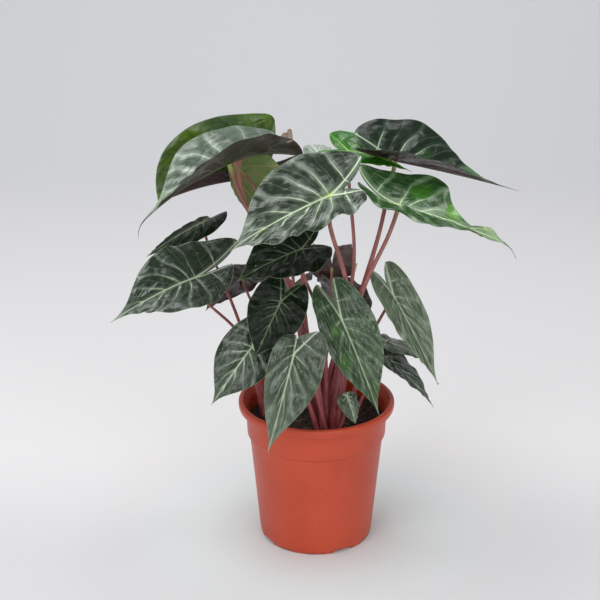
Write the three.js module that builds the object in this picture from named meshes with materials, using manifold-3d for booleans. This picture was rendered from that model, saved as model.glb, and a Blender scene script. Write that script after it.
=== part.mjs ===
// A potted aroid house plant: arrow-shaped blades on pink stalks, in a clay-coloured nursery pot of peat.
// Millimetres, +Z up. The pot stands on z = 0 with its axis on the Z axis, and -Y is the front.
import * as THREE from 'three';
import * as BufferGeometryUtils from 'three/addons/utils/BufferGeometryUtils.js';
import Module from 'manifold-3d';

const wasm = await Module();
wasm.setup();

// Pot: heights and outer radii of a 19 cm nursery pot.
const POT_HEIGHT = 180;
const RIM_RADIUS = 95;
const RIM_INNER_RADIUS = 89.3;
const RIM_DEPTH = 9.5;
const BAND_TOP_RADIUS = 86;
const BAND_FOOT_RADIUS = 84.4;
const BAND_FOOT_HEIGHT = 136;
const BODY_TOP_RADIUS = 81.4;
const BODY_TOP_HEIGHT = 133.5;
const BODY_FOOT_RADIUS = 69.4;
const BODY_FOOT_HEIGHT = 7;
const FOOT_RADIUS = 67.5;
const WALL = 2.2;
const FLOOR_HEIGHT = 5;
const FLOOR_THICKNESS = 2.4;
const FOOT_RING = 5;
const POT_SIDES = 40;
const NOTCH_HEIGHT = 4.4;
const NOTCH_ANGLE = 20;
const NOTCH_COUNT = 4;
const FIRST_NOTCH = -60;
const DRAIN_RADIUS = 5;
const DRAIN_RING = 40;
const DRAIN_COUNT = 6;
const DRAIN_SIDES = 10;

// Peat, and how the stalks stand in it.
const SOIL_HEIGHT = 159;
const SOIL_MOUND = 4;
const STALK_DEPTH = 14;
const GAP = 0.35;

// Blade outline, in shares of the length from stalk joint to tip.
const BLADE_THICKNESS = 0.9;
const KEEL = 0.9;
const HALF_WIDTH = 0.42;
const LOBE = 0.42;
const LOBE_SPREAD = 0.2;
const FUSED = 0.16;
const JOINT_SHARE = 0.7;
const FUSED_SHARE = 1 / 3;
const VEIN_SLANT = 0.1;

const DEGREE = Math.PI / 180;

const POT_CLAY = new THREE.MeshStandardMaterial({ color: 0xbe5236, roughness: 0.5, metalness: 0 });
const PEAT = new THREE.MeshStandardMaterial({ color: 0x231a16, roughness: 0.95, metalness: 0 });
const STALK_PINK = new THREE.MeshStandardMaterial({ color: 0xb4696a, roughness: 0.5, metalness: 0 });
const LEAF_GREEN = new THREE.MeshStandardMaterial({ color: 0x35503f, roughness: 0.4, metalness: 0 });
const YOUNG_GREEN = new THREE.MeshStandardMaterial({ color: 0x7c9a4a, roughness: 0.45, metalness: 0 });

// Every leaf: the shoot and the foot in the peat that its stalk rises from, the joint where it carries
// the blade, and the blade's tip. width and lobe scale the outline. In degrees, roll turns the face about
// the line from joint to tip, fold raises both halves in a V, curl bends the margins down, arch bends the
// blade along its length, back droops the lobes, hook bends the tip and twist winds the blade towards it.
// wave is the margin's ripple in millimetres. by is a place that the stalk passes on its way up. point and
// shoulder shape the outline near the tip: smaller is more drawn out.
const LEAVES = {
  crown_front: {
    shoot: 'centre', foot: [18, -40], joint: [13, -58, 455], tip: [-92, -126, 416], by: [36, -38, 325],
    roll: -32, fold: 28, curl: 10, arch: 18, hook: 20, back: -32, spread: 0.5, shoulder: 0.7,
    wave: 3, rows: 12, columns: 4,
  },
  crown_left: {
    shoot: 'centre', foot: [5, -38], joint: [-102, 0, 476], tip: [-190, -80, 441], by: [-30, -25, 330],
    roll: 6, fold: 44, curl: 8, arch: 35, back: 6, width: 1.05, lobe: 1.5, point: 0.6,
    shoulder: 0.5, rows: 12, columns: 4,
  },
  crown_left_back: {
    shoot: 'back', foot: [-4, 14], joint: [-95, 86, 475], tip: [-200, 48, 404], by: [-35, 30, 320],
    roll: 60, curl: 5, arch: 65, back: -15, width: 1.1, shoulder: 0.7, wave: 4, rows: 12, columns: 4,
  },
  crown_right: {
    shoot: 'centre', foot: [24, -34], joint: [96, -8, 430], tip: [229, -60, 382], by: [50, -28, 320],
    roll: 3, fold: 17, curl: 8, arch: 15, back: -45, lobe: 0.8, spread: 0.6, twist: 32,
    width: 0.95, point: 0.6, wave: 4, rows: 12, columns: 4,
  },
  crown_right_back: {
    shoot: 'back', foot: [12, 14], joint: [98, 60, 458], tip: [226, 62, 430], by: [74, 30, 380],
    roll: 11, fold: 47, curl: 8, arch: 8, width: 1.1, point: 0.55, shoulder: 0.3, rows: 12, columns: 4,
  },
  young_back: {
    shoot: 'back', foot: [6, 18], joint: [43, 90, 464], tip: [92, 100, 448], by: [46, 22, 340],
    young: true, fold: 28, lobe: 1.1, stalk: 2, base: 3.6,
  },
  middle_left: {
    shoot: 'left', foot: [-64, 4], joint: [-143, -20, 343], tip: [-227, -86, 319], by: [-90, -2, 260],
    roll: -35, fold: 20, curl: 10, arch: 30, back: -25, lobe: 1.35, stalk: 1.5, base: 4,
  },
  middle_left_back: {
    shoot: 'left', foot: [-59, 8], joint: [-153, 48, 376], tip: [-210, 15, 332], by: [-95, 30, 270],
    roll: 15, fold: 5, lobe: 1.6, stalk: 1.5, base: 4,
  },
  lower_left: {
    shoot: 'centre', foot: [3, -48], joint: [-76, -62, 273], tip: [-121, -86, 213], by: [-28, -46, 235],
    roll: -50, fold: 5, curl: 10, stalk: 1.6, base: 4,
  },
  centre_hanging: {
    shoot: 'centre', foot: [8, -45], joint: [-42, -72, 333], tip: [-72, -92, 271], by: [-6, -50, 260],
    roll: -46, fold: 5, curl: 10, width: 1.1, stalk: 1.6, base: 4,
  },
  centre_dark: {
    shoot: 'centre', foot: [12, -36], joint: [-11, -60, 393], tip: [-90, -105, 371], by: [6, -40, 290],
    roll: -30, fold: 22, curl: 8, arch: 20, back: -15, stalk: 1.7, base: 4,
  },
  lower_centre: {
    shoot: 'centre', foot: [12, -50], joint: [-27, -102, 272], tip: [-56, -128, 173], by: [-4, -64, 225],
    roll: -50, fold: 20, curl: 8, arch: 15, width: 0.7, lobe: 0.75, spread: 0.6, stalk: 1.6, base: 4,
  },
  centre_right: {
    shoot: 'centre', foot: [25, -43], joint: [28, -65, 308], tip: [70, -95, 206], by: [30, -43, 235],
    roll: 32, fold: 22, curl: 8, arch: 15, width: 0.75, spread: 0.5, stalk: 1.7, base: 4,
  },
  right: {
    shoot: 'right', foot: [40, 6], joint: [92, 2, 311], tip: [143, -25, 214], by: [60, 4, 245],
    roll: 40, fold: 32, curl: 5, arch: 15, width: 0.56, lobe: 0.85, spread: 0.5, stalk: 1.7, base: 4,
  },
  right_behind: {
    shoot: 'right', foot: [44, 10], joint: [85, 25, 245], tip: [137, 0, 226], by: [60, 28, 240],
    roll: -6, width: 0.9, stalk: 1.3, base: 3.5, rows: 8, columns: 2,
  },
  right_narrow: {
    shoot: 'right', foot: [45, 3], joint: [82, 15, 227], tip: [140, -10, 175], by: [64, 8, 195],
    roll: -5, fold: 16, width: 0.8, lobe: 0.5, stalk: 1.2, base: 3.5, rows: 8, columns: 2,
  },
  small_soil: {
    shoot: 'centre', foot: [22, -48], joint: [28, -60, 213], tip: [44, -70, 180],
    roll: 42, stalk: 1.2, base: 3.5, rows: 8, columns: 2,
  },
  back_upright: {
    shoot: 'back', foot: [5, 24], joint: [22, 58, 332], tip: [28, 122, 305], by: [14, 40, 240],
    fold: 5, back: -95, width: 1.2, lobe: 1.6, stalk: 1.5, base: 3.6, rows: 8, columns: 3,
  },
  back_left_low: {
    shoot: 'back', foot: [-8, 19], joint: [-90, 55, 315], tip: [-138, 76, 263], by: [-50, 30, 235],
    roll: 40, fold: 10, stalk: 1.5, base: 3.6, rows: 8, columns: 2,
  },
  young_hanging: {
    shoot: 'back', foot: [3, 13], joint: [-65, 42, 456], tip: [-87, 26, 406], by: [-34, 10, 330],
    young: true, roll: 130, fold: 20, width: 1.3, lobe: 0.6, stalk: 1.5, base: 3.4, rows: 8, columns: 3,
  },
  back_top: {
    shoot: 'back', foot: [0, 19], joint: [-6, 74, 474], tip: [-14, 133, 436], by: [-17, 50, 330],
    fold: 15, width: 0.9, lobe: 0.85, stalk: 1.8, base: 4, rows: 8, columns: 3,
  },
  back_high: {
    shoot: 'back', foot: [-2, 25], joint: [-40, 75, 395], tip: [-75, 120, 330], by: [-26, 50, 290],
    fold: 15, stalk: 1.7, base: 3.8, rows: 8, columns: 3,
  },
  back_low_left: {
    shoot: 'back', foot: [-8, 25], joint: [-35, 78, 290], tip: [-61, 116, 220], by: [-14, 50, 240],
    fold: 15, stalk: 1.5, base: 3.6, rows: 8, columns: 3,
  },
  back_low_right: {
    shoot: 'back', foot: [10, 22], joint: [30, 78, 285], tip: [49, 116, 212], by: [28, 48, 235],
    fold: 25, stalk: 1.5, base: 3.6, rows: 8, columns: 3,
  },
  spear: {
    shoot: 'centre', foot: [18, -33], joint: [46, -32, 366], tip: [50, -32, 380], by: [34, -32, 318],
    rolled: true, stalk: 0.8, base: 4.6,
  },
};
const LEAF_DEFAULTS = {
  width: 1, lobe: 1, spread: 1, point: 0.8, shoulder: 0.58, roll: 0, fold: 0, curl: 15, arch: 20,
  back: 5, hook: 0, twist: 0, wave: 2, ripples: 2.5, rows: 10, columns: 3, stalk: 2.4, base: 5.5,
};

const vector = (place) => new THREE.Vector3(...place);

// A closed geometry as a solid that can be joined and cut.
function solidFrom(geometry) {
  const loose = geometry.index ? geometry.toNonIndexed() : geometry;
  const bare = new THREE.BufferGeometry().setAttribute('position', loose.getAttribute('position'));
  const merged = BufferGeometryUtils.mergeVertices(bare, 1e-3);
  const corners = [...merged.index.array];
  const kept = [];
  for (let i = 0; i < corners.length; i += 3) {
    const [a, b, c] = corners.slice(i, i + 3);
    if (a !== b && b !== c && c !== a) kept.push(a, b, c);
  }
  return new wasm.Manifold(new wasm.Mesh({
    numProp: 3,
    vertProperties: new Float32Array(merged.attributes.position.array),
    triVerts: new Uint32Array(kept),
  }));
}

// A joined or cut solid back as a geometry.
function geometryFrom(solid) {
  const mesh = solid.getMesh();
  const geometry = new THREE.BufferGeometry();
  geometry.setAttribute('position', new THREE.BufferAttribute(new Float32Array(mesh.vertProperties), 3));
  geometry.setIndex([...mesh.triVerts]);
  const flat = geometry.toNonIndexed();
  flat.computeVertexNormals();
  return flat;
}

// A closed profile of [radius, height] pairs turned round the Z axis.
function turned(profile, sides) {
  const points = profile.map(([radius, height]) => new THREE.Vector2(radius, height));
  return new THREE.LatheGeometry(points, sides).rotateX(Math.PI / 2);
}

// The curves of a flat blade's right half: x outwards, y from the joint (0) to the tip (1).
function outlineOf(leaf) {
  const width = HALF_WIDTH * leaf.width;
  const lobe = LOBE * leaf.lobe;
  const spread = LOBE_SPREAD * leaf.spread;
  const point = (x, y) => new THREE.Vector2(x, y);
  const margin = new THREE.CurvePath();
  margin.add(new THREE.CubicBezierCurve(
    point(0, 1), point(0.02, leaf.point), point(width, leaf.shoulder), point(width, 0.14)));
  margin.add(new THREE.CubicBezierCurve(
    point(width, 0.14), point(width, -0.12), point(spread + 0.13, -lobe), point(spread, -lobe)));
  const costa = new THREE.QuadraticBezierCurve(
    point(0, 0), point(spread * 0.42, -lobe * 0.45), point(spread, -lobe));
  const sinus = new THREE.QuadraticBezierCurve(
    point(0, -FUSED), point(spread * 0.25, -lobe * 0.8), point(spread, -lobe));
  return {
    // The margin, by share of its length from tip to lobe end.
    margin: (share) => margin.getPointAt(share),
    // The midrib down to the joint, and from there the rib into the lobe.
    rib: (share) => (share <= JOINT_SHARE
      ? point(0, 1 - share / JOINT_SHARE)
      : costa.getPoint((share - JOINT_SHARE) / (1 - JOINT_SHARE))),
    // The middle of the fused part behind the joint, and from there the edge of the notch.
    notch: (share) => (share <= FUSED_SHARE
      ? point(0, -FUSED * share / FUSED_SHARE)
      : sinus.getPoint((share - FUSED_SHARE) / (1 - FUSED_SHARE))),
  };
}

// Where along the rib the vein starts that reaches the margin at a share of its length.
const veinFoot = (share) => (share < JOINT_SHARE
  ? share + VEIN_SLANT * Math.sin(Math.PI * share / JOINT_SHARE)
  : share);

// The midrib's slope below level, in radians, at a share of the blade's length.
function slopeAt(leaf, y) {
  if (y < 0) return leaf.back * DEGREE * y / LOBE;
  const beyond = Math.max(0, y - 0.75) / 0.25;
  return DEGREE * (leaf.arch * y + leaf.hook * beyond * beyond);
}

// The bent midrib's place at a share of the blade's length, by summing short level steps.
function spineAt(leaf, y) {
  const steps = 16;
  const place = new THREE.Vector3();
  for (let step = 0; step < steps; step++) {
    const slope = slopeAt(leaf, y * (step + 0.5) / steps);
    place.y += Math.cos(slope) * y / steps;
    place.z -= Math.sin(slope) * y / steps;
  }
  return place;
}

// A flat blade's point on the bent blade, in shares of its length.
function bent(leaf, x, y) {
  const side = x < 0 ? -1 : 1;
  const reach = Math.abs(x);
  const start = leaf.fold * DEGREE;
  const bend = leaf.curl * DEGREE / HALF_WIDTH;
  const turn = start - bend * reach;
  let across = reach * Math.cos(start);
  let height = reach * Math.sin(start);
  if (Math.abs(bend) > 1e-3) {
    across = (Math.sin(start) - Math.sin(turn)) / bend;
    height = (Math.cos(turn) - Math.cos(start)) / bend;
  }
  const ripple = Math.sin(2 * Math.PI * leaf.ripples * y + side * 1.2 + leaf.seed);
  height += leaf.wave / leaf.length * ripple * (reach / HALF_WIDTH) ** 2;
  const winding = leaf.twist * DEGREE * Math.max(0, y);
  const level = side * across * Math.cos(winding) - height * Math.sin(winding);
  const raised = side * across * Math.sin(winding) + height * Math.cos(winding);
  const slope = slopeAt(leaf, y);
  const place = spineAt(leaf, y);
  return place.add(new THREE.Vector3(level, raised * Math.sin(slope), raised * Math.cos(slope)));
}

// A leaf with its length and its place worked out from its joint, tip and roll.
function settle(name, index) {
  const leaf = { ...LEAF_DEFAULTS, ...LEAVES[name], name, seed: index * 1.7, length: 100 };
  const joint = vector(leaf.joint);
  const chord = vector(leaf.tip).sub(joint);
  const spine = spineAt(leaf, 1);
  leaf.length = chord.length() / spine.length();
  const forward = chord.clone().normalize();
  const level = new THREE.Vector3(0, 0, 1).addScaledVector(forward, -forward.z).normalize();
  const right = new THREE.Vector3().crossVectors(forward, level);
  const facing = level.clone().multiplyScalar(Math.cos(leaf.roll * DEGREE));
  facing.addScaledVector(right, Math.sin(leaf.roll * DEGREE));
  right.crossVectors(forward, facing);
  const world = new THREE.Matrix4().makeBasis(right, forward, facing);
  const local = new THREE.Matrix4().makeRotationX(-Math.atan2(spine.z, spine.y));
  leaf.matrix = world.multiply(local).scale(new THREE.Vector3(leaf.length, leaf.length, leaf.length));
  leaf.matrix.setPosition(joint);
  leaf.normal = leaf.rolled ? forward : new THREE.Vector3(0, 0, 1).transformDirection(leaf.matrix);
  return leaf;
}

// The top and bottom points of the blade's skin over one point of the flat blade.
function skin(leaf, flat, side) {
  const step = 1e-3;
  const x = side * flat.x;
  const along = bent(leaf, x, flat.y + step).sub(bent(leaf, x, flat.y - step));
  const across = bent(leaf, x + step, flat.y).sub(bent(leaf, x - step, flat.y));
  const normal = across.cross(along).normalize().transformDirection(leaf.matrix);
  const middle = bent(leaf, x, flat.y).applyMatrix4(leaf.matrix);
  const keel = flat.x < 1e-6 && flat.y >= 0 ? KEEL * (1 - flat.y) : 0;
  return {
    flat,
    top: middle.clone().addScaledVector(normal, BLADE_THICKNESS / 2),
    bottom: middle.addScaledVector(normal, -BLADE_THICKNESS / 2 - keel),
  };
}

// A blade: both skins of each half on one grid of rows that run like its veins, and a rim between them.
function bladeGeometry(leaf) {
  const outline = outlineOf(leaf);
  const corners = [];
  const push = (...points) => points.forEach((point) => corners.push(point.x, point.y, point.z));
  const same = (a, b) => a.flat.distanceTo(b.flat) < 1e-6;
  for (const side of [1, -1]) {
    const face = (a, b, c) => {
      if (same(a, b) || same(b, c) || same(c, a)) return;
      const [second, third] = side > 0 ? [b, c] : [c, b];
      push(a.top, second.top, third.top);
      push(a.bottom, third.bottom, second.bottom);
    };
    const patch = (grid) => {
      for (let i = 0; i + 1 < grid.length; i++) {
        for (let j = 0; j + 1 < grid[i].length; j++) {
          face(grid[i][j], grid[i + 1][j], grid[i + 1][j + 1]);
          face(grid[i][j], grid[i + 1][j + 1], grid[i][j + 1]);
        }
      }
    };
    const rim = (a, b) => {
      if (same(a, b)) return;
      const [from, to] = side > 0 ? [a, b] : [b, a];
      push(to.top, from.top, from.bottom);
      push(to.top, from.bottom, to.bottom);
    };
    const jointRow = Math.round(leaf.rows * JOINT_SHARE);
    const shareOf = (row) => (row <= jointRow
      ? JOINT_SHARE * row / jointRow
      : JOINT_SHARE + (1 - JOINT_SHARE) * (row - jointRow) / (leaf.rows - jointRow));
    const outer = [];
    for (let row = 0; row <= leaf.rows; row++) {
      const share = shareOf(row);
      const start = outline.rib(veinFoot(share));
      const end = outline.margin(share);
      outer.push([]);
      for (let column = 0; column <= leaf.columns; column++) {
        outer[row].push(skin(leaf, start.clone().lerp(end, column / leaf.columns), side));
      }
    }
    patch(outer);
    for (let row = 0; row < leaf.rows; row++) rim(outer[row + 1][leaf.columns], outer[row][leaf.columns]);
    const inner = [];
    for (let row = jointRow; row <= leaf.rows; row++) {
      const share = (row - jointRow) / (leaf.rows - jointRow);
      inner.push([skin(leaf, outline.notch(share), side), outer[row][0]]);
    }
    patch(inner);
    for (let row = 0; row + 1 < inner.length; row++) {
      if (inner[row + 1][0].flat.x > 1e-6) rim(inner[row][0], inner[row + 1][0]);
    }
  }
  const geometry = new THREE.BufferGeometry();
  geometry.setAttribute('position', new THREE.BufferAttribute(new Float32Array(corners), 3));
  geometry.computeVertexNormals();
  return geometry;
}

// The line of a stalk: up out of the peat, then leaning out to the underside of its blade.
function stalkPath(leaf) {
  const foot = new THREE.Vector3(leaf.foot[0], leaf.foot[1], SOIL_HEIGHT - STALK_DEPTH);
  const end = vector(leaf.joint).addScaledVector(leaf.normal, -BLADE_THICKNESS / 2 - KEEL - GAP);
  const rise = end.clone().sub(foot);
  const middle = leaf.by ? vector(leaf.by) : foot.clone().addScaledVector(rise, 0.5);
  const arrival = end.clone().sub(middle).normalize().addScaledVector(leaf.normal, 0.6).normalize();
  const before = end.clone().addScaledVector(arrival, -0.12 * rise.length());
  const ground = foot.clone().lerp(middle, 0.12);
  ground.x = foot.x + (middle.x - foot.x) * 0.06;
  ground.y = foot.y + (middle.y - foot.y) * 0.06;
  return new THREE.CatmullRomCurve3([foot, ground, middle, before, end]);
}

// A stalk as a bent, tapering cylinder whose top is cut parallel to the blade that it carries.
function stalkSolid(leaf, grown = 0) {
  const sides = 6;
  const steps = 8;
  const path = stalkPath(leaf);
  const frames = path.computeFrenetFrames(steps);
  const tube = new THREE.CylinderGeometry(1, 1, 1, sides, steps);
  const place = tube.getAttribute('position');
  for (let i = 0; i < place.count; i++) {
    const share = place.getY(i) + 0.5;
    const step = Math.round(share * steps);
    const radius = leaf.stalk + (leaf.base - leaf.stalk) * (1 - share) ** (leaf.rolled ? 1 : 2) + grown;
    const point = path.getPointAt(share);
    point.addScaledVector(frames.normals[step], place.getX(i) * radius);
    point.addScaledVector(frames.binormals[step], -place.getZ(i) * radius);
    if (step === 0) point.z -= grown;
    if (step === steps) {
      const tangent = frames.tangents[step];
      const above = path.getPointAt(1).sub(point).dot(leaf.normal);
      point.addScaledVector(tangent, above / tangent.dot(leaf.normal));
    }
    place.setXYZ(i, point.x, point.y, point.z);
  }
  return solidFrom(tube);
}

// The pot's wall, rim and raised floor, turned in one piece.
function potProfile() {
  const innerTop = BAND_TOP_RADIUS - WALL;
  return [
    [0, FLOOR_HEIGHT],
    [FOOT_RADIUS - FOOT_RING, FLOOR_HEIGHT],
    [FOOT_RADIUS - FOOT_RING, 0],
    [FOOT_RADIUS, 0],
    [BODY_FOOT_RADIUS, BODY_FOOT_HEIGHT],
    [BODY_TOP_RADIUS, BODY_TOP_HEIGHT],
    [BAND_FOOT_RADIUS, BAND_FOOT_HEIGHT],
    [BAND_TOP_RADIUS, POT_HEIGHT - RIM_DEPTH],
    [RIM_RADIUS - 0.6, POT_HEIGHT - RIM_DEPTH - 1],
    [RIM_RADIUS, POT_HEIGHT - 3],
    [RIM_RADIUS - 1.8, POT_HEIGHT],
    [RIM_INNER_RADIUS, POT_HEIGHT],
    [innerTop, POT_HEIGHT - RIM_DEPTH - 2],
    [BAND_FOOT_RADIUS - WALL, BAND_FOOT_HEIGHT],
    [BODY_TOP_RADIUS - WALL, BODY_TOP_HEIGHT],
    [BODY_FOOT_RADIUS - WALL, BODY_FOOT_HEIGHT + FLOOR_THICKNESS],
    [BODY_FOOT_RADIUS - WALL - 2, FLOOR_HEIGHT + FLOOR_THICKNESS],
    [0, FLOOR_HEIGHT + FLOOR_THICKNESS],
  ];
}

// The pot: notches let water out under the foot ring, and holes drain the floor.
function potGeometry() {
  let pot = solidFrom(turned(potProfile(), POT_SIDES));
  for (let i = 0; i < NOTCH_COUNT; i++) {
    const turn = (FIRST_NOTCH + i * 360 / NOTCH_COUNT) * DEGREE;
    const reach = 2 * FOOT_RADIUS * Math.tan(NOTCH_ANGLE / 2 * DEGREE);
    const notch = new THREE.BoxGeometry(3 * FOOT_RING, reach, 2 * NOTCH_HEIGHT);
    notch.translate(FOOT_RADIUS - FOOT_RING / 2, 0, 0).rotateZ(turn);
    pot = pot.subtract(solidFrom(notch));
  }
  for (let i = 0; i < DRAIN_COUNT; i++) {
    const turn = (i + 0.5) * 360 / DRAIN_COUNT * DEGREE;
    const hole = new THREE.CylinderGeometry(DRAIN_RADIUS, DRAIN_RADIUS, 4 * FLOOR_HEIGHT, DRAIN_SIDES);
    hole.rotateX(Math.PI / 2);
    hole.translate(DRAIN_RING * Math.cos(turn), DRAIN_RING * Math.sin(turn), FLOOR_HEIGHT);
    pot = pot.subtract(solidFrom(hole));
  }
  return geometryFrom(pot);
}

// The peat fills the pot up to a low mound, with a plain hole for every stalk.
function soilGeometry(leaves) {
  const floor = FLOOR_HEIGHT + FLOOR_THICKNESS + GAP;
  const slack = WALL + GAP;
  const bandSlope = (BAND_TOP_RADIUS - BAND_FOOT_RADIUS) / (POT_HEIGHT - RIM_DEPTH - BAND_FOOT_HEIGHT);
  const edge = BAND_FOOT_RADIUS - slack + bandSlope * (SOIL_HEIGHT - BAND_FOOT_HEIGHT) - 0.2;
  let soil = solidFrom(turned([
    [0, floor],
    [BODY_FOOT_RADIUS - slack - 2.6, floor],
    [BODY_FOOT_RADIUS - slack - 0.2, BODY_FOOT_HEIGHT + FLOOR_THICKNESS + 1],
    [BODY_TOP_RADIUS - slack - 0.2, BODY_TOP_HEIGHT],
    [BAND_FOOT_RADIUS - slack - 0.2, BAND_FOOT_HEIGHT + 0.5],
    [edge, SOIL_HEIGHT - SOIL_MOUND],
    [edge * 0.66, SOIL_HEIGHT - 1],
    [edge * 0.33, SOIL_HEIGHT],
    [0, SOIL_HEIGHT],
  ], POT_SIDES));
  for (const leaf of leaves) soil = soil.subtract(stalkSolid(leaf, GAP));
  return geometryFrom(soil);
}

const plant = new THREE.Group();
const add = (name, geometry, material) => {
  const mesh = new THREE.Mesh(geometry, material);
  mesh.name = name;
  plant.add(mesh);
};

const leaves = Object.keys(LEAVES).map(settle);
add('pot', potGeometry(), POT_CLAY);
add('soil', soilGeometry(leaves), PEAT);
for (const shoot of new Set(leaves.map((leaf) => leaf.shoot))) {
  const stalks = leaves.filter((leaf) => leaf.shoot === shoot).map((leaf) => stalkSolid(leaf));
  add(`stalks_${shoot}`, geometryFrom(stalks.reduce((joined, stalk) => joined.add(stalk))), STALK_PINK);
}
for (const leaf of leaves.filter((leaf) => !leaf.rolled)) {
  add(`blade_${leaf.name}`, bladeGeometry(leaf), leaf.young ? YOUNG_GREEN : LEAF_GREEN);
}

export default plant;
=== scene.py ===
# %% [markdown]
# # A potted aroid, dressed for its portrait
#
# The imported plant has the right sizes, but its leaves are flat-sided and each piece has one plain colour.
# This lesson gives every piece its real surface: blades with sunken veins and silvery feathering, pink
# stalks, crumbly peat and a moulded pot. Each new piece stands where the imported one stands, and a few blades
# of the crown are turned and widened until their outlines fit the photograph.

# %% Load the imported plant
import math
import random
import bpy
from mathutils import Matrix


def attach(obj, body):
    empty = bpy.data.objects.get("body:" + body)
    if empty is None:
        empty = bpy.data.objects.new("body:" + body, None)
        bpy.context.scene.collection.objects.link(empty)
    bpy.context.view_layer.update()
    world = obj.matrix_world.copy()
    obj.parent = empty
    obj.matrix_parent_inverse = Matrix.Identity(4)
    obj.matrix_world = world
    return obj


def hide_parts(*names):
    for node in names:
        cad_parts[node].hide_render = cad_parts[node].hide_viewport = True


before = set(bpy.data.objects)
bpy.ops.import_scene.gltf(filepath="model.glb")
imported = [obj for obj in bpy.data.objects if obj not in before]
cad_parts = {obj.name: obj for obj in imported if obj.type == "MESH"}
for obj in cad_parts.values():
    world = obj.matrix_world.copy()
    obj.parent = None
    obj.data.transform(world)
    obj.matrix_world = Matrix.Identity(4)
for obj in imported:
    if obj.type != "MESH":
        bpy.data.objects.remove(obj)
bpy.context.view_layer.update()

from types import SimpleNamespace

import bmesh
import bpy
import numpy as np
from mathutils import Matrix, Vector, noise

MM = 0.001
DEGREE = math.pi / 180
BODY = "root"
print("packed nodes:", len(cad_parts))

# %% [markdown]
# ## The camera
#
# The portrait looks slightly down at the plant from a little under two metres. A long lens keeps the pot's
# sides nearly parallel. The camera's distance and tilt were worked out from the two ellipses that the pot's
# lip and foot make in the photograph.

# %% Place the camera
scene = bpy.context.scene
portrait_camera = bpy.data.objects.new("portrait_camera", bpy.data.cameras.new("portrait_camera"))
portrait_camera.data.lens = 94.6
portrait_camera.location = (-0.020, -1.750, 0.984)
portrait_camera.rotation_euler = (68.86 * DEGREE, 0, 0)
scene.collection.objects.link(portrait_camera)
scene.camera = portrait_camera
print("camera stands", -portrait_camera.location.y, "m in front of the plant")

# %% [markdown]
# ## A shelf of small helpers
#
# Most pieces here are made in the same three moves. A bmesh starts from a simple grid or ring, its points are
# moved by a formula, and the result becomes an object that rides on the plant. The helpers keep those moves
# short, so that each later cell shows only what is special about its piece.

# %% Turn a bmesh into a finished object
def finish_piece(name, bm, finishes, sharp=40):
    """Makes a smooth-shaded object of a bmesh, with its finishes in slot order."""
    mesh = bpy.data.meshes.new(name)
    bm.to_mesh(mesh)
    bm.free()
    for finish in finishes:
        mesh.materials.append(finish)
    mesh.shade_smooth()
    mesh.set_sharp_from_angle(angle=sharp * DEGREE)
    print(name, "has", len(mesh.polygons), "faces")
    piece = bpy.data.objects.new(name, mesh)
    scene.collection.objects.link(piece)
    return piece


def hang_on_plant(piece, slot, *nodes):
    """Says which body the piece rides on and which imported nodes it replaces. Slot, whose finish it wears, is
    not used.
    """
    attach(piece, BODY)
    if nodes:
        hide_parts(*nodes)


def read_points(mesh):
    """All the mesh's points as an array."""
    points = np.empty(len(mesh.vertices) * 3)
    mesh.vertices.foreach_get("co", points)
    return points.reshape(-1, 3)


def write_points(mesh, points):
    """Moves the mesh's points to the places in an array."""
    mesh.vertices.foreach_set("co", points.astype(np.float32).ravel())
    mesh.update()


def note_measure(mesh, name, values):
    """Stores one number for every point, for a material to read."""
    attribute = mesh.attributes.new(name, "FLOAT", "POINT")
    attribute.data.foreach_set("value", np.asarray(values, np.float32))


def fade(values, start, end):
    """Rises smoothly from 0 at start to 1 at end."""
    share = np.clip((np.asarray(values, float) - start) / (end - start), 0, 1)
    return share * share * (3 - 2 * share)


def points_along(line, shares):
    """The points of a line at shares of its length."""
    length = np.append(0, np.cumsum(np.linalg.norm(np.diff(line, axis=0), axis=1)))
    return np.column_stack([np.interp(shares * length[-1], length, values) for values in line.T])


def spin_profile(bm, profile, steps, merge):
    """Turns a profile of radii and heights round the upright axis. Points closer than merge become one."""
    line = [bm.verts.new((radius, 0, height)) for radius, height in profile]
    edges = [bm.edges.new(pair) for pair in zip(line, line[1:])]
    bmesh.ops.spin(bm, geom=line + edges, axis=(0, 0, 1), cent=(0, 0, 0), steps=steps, angle=2 * math.pi,
                   use_merge=True)
    bmesh.ops.remove_doubles(bm, verts=bm.verts, dist=merge)
    bmesh.ops.recalc_face_normals(bm, faces=bm.faces)


# %% [markdown]
# ## Mixing finishes
#
# A finish is a node tree, and wiring nodes one by one makes long cells. This small class wraps the few nodes
# that every finish here needs: a stored measure, a noise, a fade between two values, a mix of two colours and
# a bump. Colours are written as they look on screen, and tint turns them into light values.

# %% A finish in the making
def tint(red, green, blue):
    """A colour given in screen values from 0 to 255, as linear light."""
    linear = [v / 12.92 if v <= 0.04045 else ((v + 0.055) / 1.055) ** 2.4 for v in
              (red / 255, green / 255, blue / 255)]
    return (*linear, 1.0)


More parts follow.
